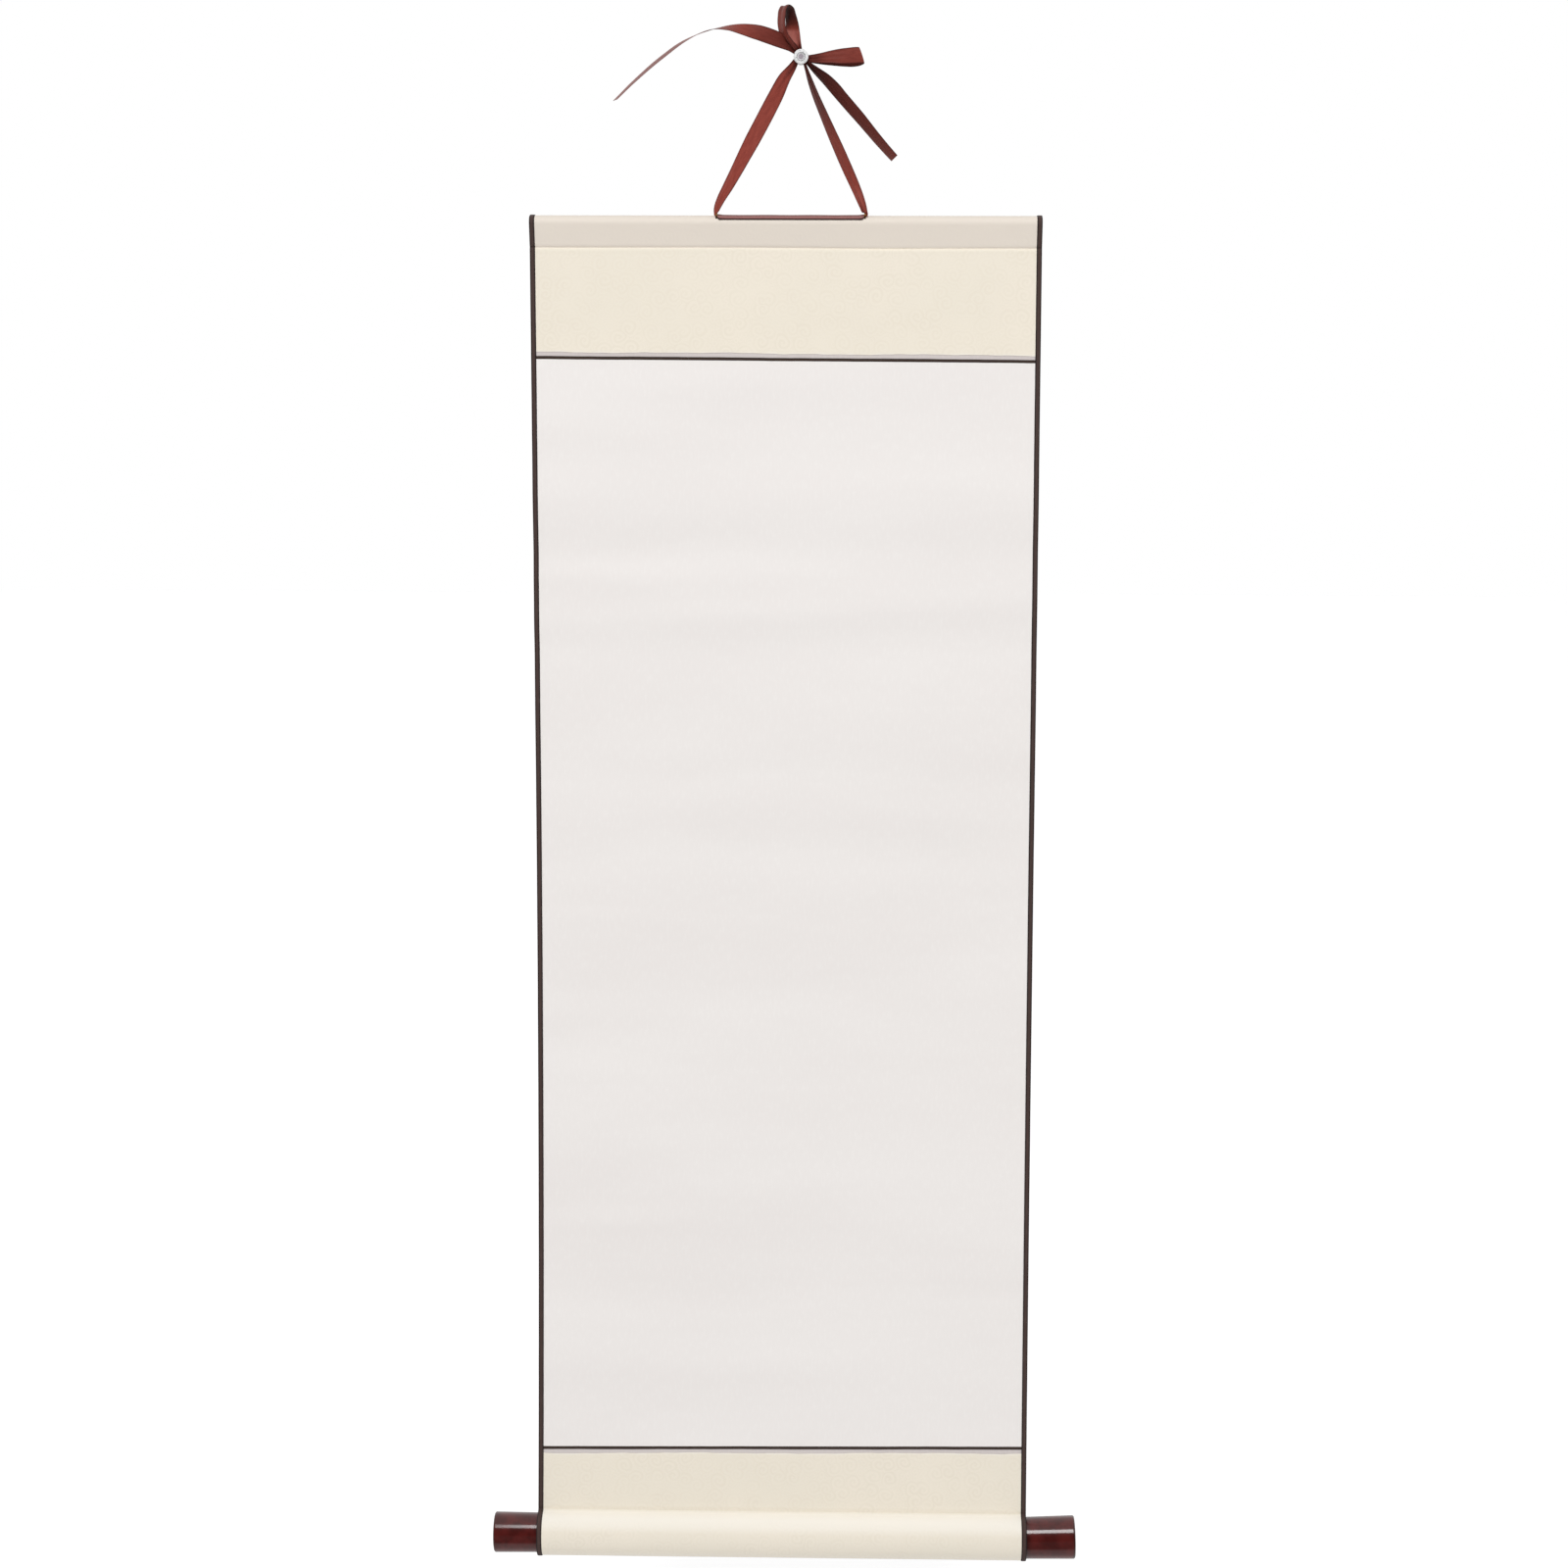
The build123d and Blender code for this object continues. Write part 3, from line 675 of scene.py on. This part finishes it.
wood = {"light": tint(206, 172, 126), "dark": tint(168, 128, 84)}
lacquer = {"red": tint(88, 25, 22), "deep": tint(68, 17, 14), "rim": tint(40, 11, 9)}
knob = {"length": (33.5, 34.2), "neck": (13.15, 13.85), "end": (13.5, 14.45), "tilt": (0.0, 1.7),     # left and right
        "rim": 1.3, "neckRound": 0.5, "dome": 0.5}
pin = {"flange": 4.75, "wallFlange": 1.8, "waist": 2.1, "waistEnd": 9.8, "front": 12.4, "edge": 0.75, "wallEdge": 0.5,
       "dimple": 2.3, "dimpleDeep": 0.35, "inner": 0.6}


def woodFinish():
    finish = Finish("paleWood", Roughness=0.6)
    grain = finish.noise(finish.place((1.0, 14.0, 14.0)), 60.0, 5.0, 0.6)
    _, front, up = finish.parts(finish.place())
    ring = finish.noise(finish.place((0.6, 1.0, 1.0)), 90.0, 2.0) * 5.0
    rings = ((front + 0.5) * 900.0 + (up + 1.2) * 620.0 + ring * 2.0).sine().between(-0.9, 0.9)
    tone = grain.between(0.3, 0.7) * 0.6 + rings * 0.4
    return finish.looks(finish.blend(tone, wood["dark"], wood["light"]), 0.5 + grain * 0.2, grain, 0.08, 0.5)


def lacquerFinish():
    # brushed lacquer on turned wood: fine rings round the knob, a darker worn rim, painted shade at the neck, and a
    # hard gloss
    finish = Finish("redLacquer", Coat_Weight=0.75, Coat_Roughness=0.11, Specular_IOR_Level=0.10)
    side = finish.parts(finish.place())[0]
    middle = (side - (middleX + scroll["dowelShift"]) * metre).size()
    fromNeck = (middle - (scroll["width"] / 2 - scroll["dowelInset"]) * metre) * 1000.0
    rings = finish.noise(finish.place((1.0, 0.04, 0.04)), 2600.0, 3.0, 0.6)
    cloud = finish.noise(finish.place(), 90.0, 3.0, 0.6)
    base = finish.blend(cloud.between(0.35, 0.65), lacquer["deep"], lacquer["red"])
    base = finish.blend(rings.between(0.52, 0.75) * 0.22, base, lacquer["rim"])
    rim = fromNeck.between(knob["length"][0] - 1.8, knob["length"][0] - 0.5)
    base = finish.blend(rim * 0.75, base, lacquer["rim"])
    # painted shade on the neck, beside the tape's ring at the roller's end
    neck = 1 - fromNeck.between(0.8, 4.5)
    base = finish.blend(neck * 0.55, base, lacquer["rim"])
    streak = finish.noise(finish.place(), 420.0, 3.0, 0.6)
    height = rings * 0.3 + cloud * 0.35 + streak * 0.35
    return finish.looks(base, 0.24 + rings * 0.12 + cloud * 0.06, height, 0.12, 0.35)


def metalFinish(name, light, dark, rough):
    finish = Finish(name, Metallic=1.0)
    cloud = finish.noise(finish.place(), 700.0, 4.0, 0.6)
    drawn = finish.noise(finish.place((1.0, 1.0, 0.1)), 5000.0, 2.0)
    return finish.looks(finish.blend(cloud.between(0.35, 0.7), light, dark), rough + cloud * 0.2, drawn, 0.02, 0.4)


def plasticFinish():
    # moulded plastic: glossy white with grey scuffs, and in the front a greyer hollow with a darker rim
    finish = Finish("whitePlastic", Specular_IOR_Level=0.5)
    side, front, up = finish.parts(finish.place())
    reach = side.maths("POWER", side * side + up * up, 0.5) * 1000.0
    frontOnly = (0 - front - 0.0112).between(0.0, 0.0004)
    hollow = (1 - reach.between(pin["dimple"] - 0.9, pin["dimple"] - 0.2)) * frontOnly
    scuff = finish.noise(finish.place((1.0, 1.0, 2.5)), 620.0, 4.0, 0.7)
    base = finish.blend(scuff.between(0.50, 0.62) * 0.85, tint(240, 240, 240), tint(176, 180, 180))
    rim = (1 - ((reach - pin["dimple"] - 0.25) * 1.6).size().least(1.0)) * frontOnly
    base = finish.blend(rim * (0.2 + scuff), base, tint(92, 88, 92))
    base = finish.blend(hollow * (0.7 + scuff * 0.4), base, tint(156, 144, 154))
    return finish.looks(base, 0.22 + scuff * 0.2, scuff, 0.05, 0.25)


def buildKnobs(finish):
    for name, side, node in (("leftKnob", -1, "left_knob"), ("rightKnob", 1, "right_knob")):
        small, rim = knob["neckRound"], knob["rim"]
        neck, end, long = (knob[part][(side + 1) // 2] for part in ("neck", "end", "length"))
        start = middleX + scroll["dowelShift"] + side * (scroll["width"] / 2 - scroll["dowelInset"])
        profile = [(0.0, 0.6 * neck), (0.0, 0.9 * neck)] + arc(small, neck - small, small, 180, 90, 5)
        profile += [(at, neck + (end - neck) * at / long) for at in np.linspace(2.0, long - rim - 0.5, 12)]
        profile += arc(long - knob["dome"] - rim, end - rim, rim, 90, 8, 9)
        profile += [(long - knob["dome"] * share**2, (end - rim) * share) for share in (0.93, 0.8, 0.6, 0.4, 0.2)]
        points, faces = lathe([(along * side, radius) for along, radius in profile], 0, 128)
        # the right knob was glued in slightly askew: its outer end stands higher
        points = points @ turned("Y", -knob["tilt"][(side + 1) // 2]).T + (start, rollerY, rollerZ)
        makePiece(name, points, faces, finish, "red_lacquer", node)


def buildPin(finish):
    wall, soft, edge, disc, waist, inner, behind, front, hollow = (pin[part] for part in (
        "wallFlange", "wallEdge", "edge", "flange", "waist", "inner", "waistEnd", "front", "dimple"))
    floor = front - pin["dimpleDeep"]
    profile = [(0.0, 0.75), (0.0, disc - 0.3), (0.15, disc - 0.08)]
    profile += arc(wall - soft, disc - soft, soft, 90, 0, 6) + [(wall, waist + 0.7)]
    profile += arc(wall + inner, waist + inner, inner, 180, 270, 5)[1:]
    profile += arc(behind - inner, waist + inner, inner, 270, 360, 5) + [(behind, disc - edge)]
    profile += arc(behind + soft, disc - soft, soft, 180, 90, 5)[1:] + arc(front - edge, disc - edge, edge, 90, 0, 8)
    profile += [(front, hollow + 0.25), (front - 0.05, hollow + 0.05), (floor + 0.06, hollow - 0.22),
                (floor, hollow - 0.5), (floor, 0.5)]
    points, faces = lathe([(-along, radius) for along, radius in profile], 1, 72)
    makePiece("pinHead", points, faces, finish, "white_plastic", "push_pin_head")


woodPale = woodFinish()
brass = metalFinish("brassWire", tint(138, 102, 54), tint(84, 54, 30), 0.42)
steel = metalFinish("needleSteel", tint(196, 196, 200), tint(150, 150, 156), 0.22)
for node, finish in (("top_rod", woodPale), ("bottom_roller", woodPale), ("left_eye", brass), ("right_eye", brass),
                     ("push_pin_needle", steel)):
    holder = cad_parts[node]
    holder.data.materials.clear()
    holder.data.materials.append(finish.material)
buildKnobs(lacquerFinish())
buildPin(plasticFinish())
print("paper scroll: knobs, pin and carried solids finished")


# Ribbon

# the fourth colour is painted shade and the fifth painted sheen
# the last colour is a painted reflection of the pale room
ribbon = {"width": 10.0, "thick": 0.36, "readAt": -8.0,
          "lit": tint(156, 72, 60), "deep": tint(134, 58, 49), "edge": tint(88, 37, 34), "wearAndPaintedLight": tint(42, 16, 13),
          "sheen": tint(232, 146, 134), "paintedReflection": tint(162, 112, 108)}


def satinFinish():
    # satin: fine threads run along the ribbon, with darker woven edges and a soft sheen
    finish = Finish("satinRibbon", Specular_IOR_Level=0.14, Sheen_Weight=0.35, Sheen_Roughness=0.35,
                    Sheen_Tint=(0.90, 0.45, 0.40, 1.0))
    across, along, _ = finish.parts(finish.cloth())
    tone = finish.tone()
    rim = across.size().between(ribbon["width"] / 2 - 0.9, ribbon["width"] / 2 - 0.25)
    threads = finish.noise(finish.cloth(1.0, 0.03), 9.0, 3.0, 0.6)
    cloud = finish.noise(finish.cloth(0.5, 0.12), 1.2, 3.0)
    base = finish.blend(cloud.between(0.3, 0.7) * 0.6 + threads.between(0.35, 0.7) * 0.4, ribbon["deep"], ribbon["lit"])
    base = finish.blend(rim * 0.8, base, ribbon["edge"])
    # the tone: 0 painted shade, 1 plain, 2 painted sheen, and -1 a painted reflection of the pale room
    base = finish.blend(tone - 1, finish.blend(tone, ribbon["wearAndPaintedLight"], base), ribbon["sheen"])
    base = finish.blend(0 - tone, base, ribbon["paintedReflection"])
    weft = (along * (np.pi / 0.30)).sine().size()
    return finish.looks(base, 0.42 + threads * 0.16, threads * 0.6 + weft * 0.1 + rim * 0.3, 0.05, 0.4)


def strand(rows):
    # stations of x, z, apparent width, depth, full width there (10 if left out), and which edge is nearer (1 or
    # -1, with 0 in a twist, 1 if left out). Places and widths were read on one plane, y = readAt, and are moved
    # along the line of sight to their own depth. The half-width vector lies in the picture for the apparent
    # part and in depth for the rest.
    x, z, apparent, depth, full, nearer = np.array([(*row, *(10.0, 1)[len(row) - 4:]) for row in rows], float).T
    eye = np.array(camera["place"])
    ratio = (depth - eye[1]) / (ribbon["readAt"] - eye[1])
    place, apparent = eye + (stacked(x, ribbon["readAt"], z) - eye) * ratio[:, None], apparent * ratio
    run = unit(np.gradient(place, axis=0))
    level = unit(stacked(-run[:, 2], 0.0, run[:, 0]))
    deep = np.sqrt(np.maximum(full**2 - apparent**2, 0.0)) * nearer
    half = 0.5 * (level * apparent[:, None] + np.array((0.0, -1.0, 0.0)) * deep[:, None])
    return np.concatenate([place, half], axis=1)


def band(stations, count, cup, pleats, seed, tone):
    # one run of ribbon through stations of a place and a half-width vector: both faces, edges rounded. Where
    # it is gathered narrower than its width, the spare width stands up in pleats; each pleat's height follows
    # from the spare length.
    line = smoothCurve(stations, count)
    place, half = line[:, :3], line[:, 3:6]
    reach = np.linalg.norm(half, axis=1, keepdims=True)
    run = unit(np.gradient(place, axis=0))
    away = unit(np.cross(run, half))
    u = np.sin(np.linspace(-np.pi / 2, np.pi / 2, 17))
    share = np.clip(reach / (ribbon["width"] / 2), 0.2, 1.0)
    rng = np.random.default_rng(seed)
    turn = rng.uniform(0, 6.28, 2)
    pleat = ribbon["width"] / (pleats * 4.6) * np.sqrt(np.maximum(1 / share - 1, 0.0)) * share
    drift = 0.6 * np.sin(np.arange(count)[:, None] / count * 5 + turn[1])
    wave = pleat * np.sin(np.pi * pleats * u[None, :] + turn[0] + drift)
    lift = cup * (1 - u[None, :]**2) * share - cup * 0.6 + wave * (1 - 0.5 * u[None, :]**2)
    middle = place[:, None] + half[:, None] * u[None, :, None] + away[:, None] * lift[..., None]
    thick = ribbon["thick"] / 2 * np.sqrt(1 - 0.85 * u**6)
    front = middle + away[:, None] * thick[None, :, None]
    back = middle - away[:, None] * thick[None, :, None]
    along = runLength(place)
    cut = stacked((u * ribbon["width"] / 2)[None, :], along[:, None])
    # painted light and shade along the run: darker at the knot, inside the loops and where a strand is turned from the
    # lamp, lighter where sheen is painted, and a painted reflection where the tone is below 0.
    # A row of the table is the share of the run and the tone, then, where they differ, the tone at the other edge and
    # on the back.
    table = np.array([row if len(row) == 4 else (row[0], row[1], row[1], row[1]) for row in tone], float)
    first, last, behind = (np.interp(along / along[-1], table[:, 0], table[:, part])[:, None] for part in (1, 2, 3))
    paintedTone = first * (1 - u) / 2 + last * (1 + u) / 2
    return front, back, cut, np.concatenate([paintedTone.ravel(), (behind * np.ones(len(u))).ravel()])


def overHem(x, rise):
    # a place above the middle of the hem's top, where the ribbon lies across it
    y, z = onSlat(0.0, hemTop + rise)
    return (x, y, z)


def underStaple(side, rows):
    # the leg goes down outside its staple, turns in under the crown and ends beneath the stretch on the hem
    post = scroll["staples"][(side + 1) // 2]
    outside, flat = post + side * 0.88, np.array((0.0, -np.cos(lean), -np.sin(lean)))
    ends = [(overHem(outside + side * 0.06, 1.7), (0.85, -2.6, -0.6)),
            (overHem(post + side * 0.80, 0.65), (0.25, -2.7, -0.7)),
            (overHem(post, 0.26), 2.75 * flat), (overHem(post - side * 1.8, 0.24), 2.7 * flat)]
    return np.concatenate([rows, [(*place, *half) for place, half in ends]])


# the legs and the tails, as read from the photograph
leftLeg = underStaple(-1, strand([
    (-2.4, -1.2, 3, -6.6, 5, -1), (-4.9, -5.5, 4.6, -7.2, 6.5, -1), (-10.4, -13.2, 7.5, -8.6, 9, -1),
    (-15.5, -23.1, 9.3, -9.8, 9.8, -1), (-20.7, -32.9, 9.9, -10.8, 10, -0.4), (-26, -42.8, 9.95, -11.4, 10, 0.5),
    (-31.3, -52.5, 9.8, -11.9), (-36.6, -62.3, 9, -12.2), (-41.9, -72.3, 8, -12.5, 9.6),
    (-47.2, -82, 6.9, -12.7, 8.6), (-51.7, -90, 5.5, -12.3, 7.4), (-53.6, -94.2, 4.6, -11.8, 6.6),
    (-54.7, -97.4, 3.2, -11.2, 6.1)]))
rightLeg = underStaple(1, strand([
    (1.6, -2, 1.6, -6.6, 5), (2.8, -5.7, 1.8, -7.2, 6), (5.9, -15, 3.3, -8.6, 8.4), (9.6, -24.8, 4.3, -9.9, 9.6),
    (13.7, -34.4, 5, -10.8), (17.9, -43.9, 5.7, -11.4), (22.2, -53.4, 6.3, -11.9), (26.5, -62.9, 6.6, -12.2),
    (30.9, -72.4, 6.5, -12.5, 9.6), (35.3, -81.9, 6, -12.7, 8.4), (38.7, -90, 5.2, -12.3, 7.2),
    (40.3, -94.2, 4.4, -11.8, 6.5), (41.5, -97.4, 3.2, -11.2, 6.1)]))
longTail = strand([
    (-1.6, 2.8, 4.6, -6.4, 5.5), (-5.7, 6.5, 7.2, -8, 8), (-9.1, 8.4, 8.4, -9.4, 9.2), (-14.7, 10.9, 9.7, -12),
    (-18.9, 12.5, 9.9, -13.6), (-22.7, 13.8, 9.9, -14.9), (-26.5, 15, 9.7, -16), (-30.3, 15.9, 9.2, -17),
    (-34.1, 16.7, 8.3, -17.9), (-37.9, 17.4, 7.2, -18.8), (-41.7, 17.9, 5.8, -19.4), (-45.4, 18.2, 4.3, -20),
    (-49.2, 18.1, 3, -20.5), (-53, 17.8, 1.7, -20.9), (-56.7, 17.2, 0.8, -21.1), (-60.5, 16.2, 0.4, -21.2),
    (-64.2, 14.9, 0.6, -21.2), (-68, 13.3, 1.1, -21.1), (-71.8, 11.5, 1.7, -20.9), (-75.5, 9.5, 2.2, -20.6),
    (-79.3, 7.1, 2.6, -20.2), (-86.9, 1.5, 2.9, -19.4), (-94.4, -4.3, 2.9, -18.6), (-102, -10.8, 2.7, -17.8),
    (-109.6, -17.6, 2.5, -17), (-119.3, -27, 2.5, -16)])
longTail[-1, 3:] = (1.7, -4.7, 0.2)      # its end is cut on the slant
shortTail = strand([
    (2, -1.4, 1.8, -6.4, 5), (3.3, -2.8, 2, -7.2, 6), (9.1, -8.2, 4.2, -9.4, 8.4), (15.5, -13.6, 6.3, -11.2, 9.8),
    (21.3, -19.5, 7.3, -12.4), (26.8, -25.9, 7.1, -13.6), (32.4, -32.2, 7, -14.4), (38, -38.5, 6.7, -15),
    (43.4, -44.9, 6.2, -15.2), (48.8, -51.3, 5.8, -15.1), (54.4, -57.6, 5.4, -14.6), (60, -63.7, 5, -14)])
# the bow's loops, as places and half-width vectors
flatLoop = [
    (1.8, -6.9, -1, 0, 0.3, 1.5), (4.4, -8.6, -1.1, 0, 0.6, 2.1), (8, -10.2, -1.1, 0, 0.8, 2.6),
    (13, -11.5, -0.8, 0, 0.9, 3.2), (19, -12.7, -0.2, -0.2, 0.9, 3.9), (25.5, -13.7, 0.1, -0.6, 0.7, 4.7),
    (32, -14.5, 0.5, -1.2, 0.4, 4.95), (36.8, -14.8, 0.8, -1.6, 0.2, 5), (38.3, -14.3, 0.8, -1.7, 0.2, 5),
    (38.9, -13.4, 0.8, -1.7, 0.2, 5), (38.6, -12.5, 0.3, -1.6, 0.2, 5), (37.2, -11.9, -0.5, -1.4, 0.2, 5),
    (33, -11.2, -1.4, -1.1, 0.1, 4.95), (27, -10.3, -1.7, -0.5, 0, 4.5), (20, -9.2, -1.6, 0, -0.2, 3.9),
    (13, -7.9, -1.5, 0, -0.4, 3.2), (7, -6.6, -1.2, 0, -0.5, 2.5), (2, -5.2, -0.8, 0, -0.4, 1.8)]
topLoop = [
    (-1.5, -5.9, 2.4, 1.2, -1.6, 1), (-4.6, -8.2, 5.6, 1.8, -2.9, 1), (-8.2, -10.6, 10, 2.3, -3.9, 0.5),
    (-11.4, -12.5, 15.2, 2.5, -4.25, 0.2), (-12.4, -13.2, 20.4, 2.55, -4.24, 0), (-12.3, -13, 25.4, 2.55, -4.2, 0),
    (-11.6, -12, 29.6, 2.6, -4.1, 0.1), (-9.9, -10.5, 31.9, 2.7, -4.1, 0), (-8.1, -9.2, 30.6, 3.1, -3.9, -0.1),
    (-6.9, -8.3, 26.4, 3.5, -3.4, -0.1), (-5.9, -7.8, 21, 4.1, -2.7, -0.1), (-5.2, -7.6, 15.6, 4.3, -2.4, -0.1),
    (-3.7, -7, 9.8, 3.6, -2, -0.2), (-1, -5.9, 4.2, 1.9, -1.6, -0.6)]


def buildBar():
    # the stretch between the staples lies over the rounded top of the hem. A place across it is counted from
    # the middle of the top: flat at first, then round the arc of either edge.
    left, right = scroll["staples"]
    x = np.linspace(left - 0.4, right + 0.4, 90)[:, None]
    top = scroll["slatTopRound"]
    radius, flat = top + hem + 0.24, slatHalf - top
    near = np.minimum(x - x[0], x[-1] - x)
    drawn = 1 - softStep(near, 0.3, 1.8)
    u = np.sin(np.linspace(-np.pi / 2, np.pi / 2, 21))[None, :]
    place = 0.26 * (1 - drawn) + u * ribbon["width"] / 2 * (1 - 0.44 * drawn)
    angle = np.sign(place) * np.maximum(np.abs(place) - flat, 0.0) / radius
    across = -np.clip(place, -flat, flat) - radius * np.sin(angle)
    up = slatHigh - top + radius * np.cos(angle)
    lift = 0.40 * (1 - softStep(near, 1.5, 5.0)) + 0.08 * np.sin(x / 4.7) * (1 - u**2)
    lift = lift + 0.25 * drawn * np.sin(7.5 * u + x / 3.0) * (1 - u**2)
    thick = ribbon["thick"] / 2 * np.sqrt(1 - 0.85 * u**6)
    sides = []
    for out in (lift + thick, lift - thick):
        y, z = onSlat(across - out * np.sin(angle), up + out * np.cos(angle))
        sides.append(stacked(x, y, z))
    cut = stacked(u * ribbon["width"] / 2, x)
    # across the bar: painted shade towards either edge and a painted reflection of the pale room between
    wearAndPaintedLight = np.interp(u[0], (-1, 0.0, 0.25, 0.65, 0.9, 1), (0.5, 0.5, -0.8, -1.0, 0.0, 0.0))
    wearAndPaintedLight = np.broadcast_to(wearAndPaintedLight, (len(x), u.size)).ravel()
    return sides[0], sides[1], cut, np.tile(wearAndPaintedLight, 2)


# how each run is made: its stations, the rows along it, its cup, its pleats and its tones of painted light and shade;
# each run starts in painted shade at the knot
shadeAtKnot = (0, 0.25)
ribbonRuns = [
    (leftLeg, 150, 0.30, 2, (shadeAtKnot, (0.06, 0.6), (0.12, 0.95), (1, 1.0))),
    (rightLeg, 140, 0.30, 2, (shadeAtKnot, (0.12, 0.2), (0.3, 0.35), (0.5, 0.8), (0.72, 0.95), (0.85, 1.1), (1, 1.05))),
    (longTail, 150, 0.12, 3, (shadeAtKnot, (0.08, 0.45), (0.2, 0.6), (0.3, 0.8), (0.38, 0.65), (0.42, 0.2), (0.45, -0.2),
                              (0.52, -0.55), (1, -0.6))),
    (shortTail, 80, 0.35, 3, (shadeAtKnot, (0.12, 0.12), (0.3, 0.28), (0.6, 0.40), (1, 0.55))),
    (flatLoop, 120, 0.25, 3, (shadeAtKnot, (0.12, 0.35), (0.2, 0.65), (0.5, 0.75, 0.75, 0.4), (0.6, 0.4), (1, 0.2))),
    (topLoop, 110, 0.10, 1, (shadeAtKnot, (0.1, 0.3, 0.3, 0.5), (0.2, 0.1, 0.1, 0.7), (0.45, 0.05, 0.05, 0.6),
                             (0.55, 0.05, 0.2, 0.3), (0.68, 0.0, 0.3, 0.3), (0.74, 0.25, 0.5, 0.3),
                             (0.81, 1.7, 1.2, 0.3), (0.92, 2.0, 1.2, 0.3), (1, 0.5, 0.3, 0.3))),
]
knot = {"radius": 3.28, "middle": -5.8, "thick": 0.82, "long": 2.9}


def buildKnot():
    # turns of gathered ribbon round the pin's waist, their folds running round it
    angle = np.linspace(0, 2 * np.pi, 96, endpoint=False)[:, None]
    ring = np.linspace(0, 2 * np.pi, 40, endpoint=False)[None, :]
    fold = 0.28 * np.sin(3 * ring + angle * 2) + 0.14 * np.sin(7 * ring - angle * 3)
    radius = knot["radius"] + (knot["thick"] + fold * 0.5) * np.cos(ring) + 0.30 * np.sin(angle * 3 + 0.6)
    depth = knot["middle"] + (knot["long"] + fold) * np.sin(ring) + 0.35 * np.sin(angle * 2)
    points = stacked(radius * np.cos(angle), depth, radius * np.sin(angle)).reshape(-1, 3)
    cut = stacked((ring / np.pi * 3 % 2 - 1) * 4.4, angle * 3.3).reshape(-1, 2)
    # a tone of 0 all round: the knot is in painted shade
    return points, quads(97, 40, True) % len(points), cut, np.zeros(len(points))


def buildRibbon(finish):
    runs = [band(*run[:4], seed + 1, run[4]) for seed, run in enumerate(ribbonRuns)] + [buildBar()]
    solids = [(*plate(front, back), np.tile(cut.reshape(-1, 2), (2, 1)), tone) for front, back, cut, tone in runs]
    solids.append(buildKnot())
    faces, count = [], 0
    for points, corners, _, _ in solids:
        faces.append(outward(points, corners) + count)
        count += len(points)
    points, _, cut, tone = [np.concatenate(part) for part in zip(*solids)]
    return makePiece("hangingRibbon", points, np.concatenate(faces), finish, "satin_ribbon", "ribbon", cut, 70.0, tone)


ribbonPiece = buildRibbon(satinFinish())
print("paper scroll: ribbon built")

long = sheetLength * metre
long + 0.150
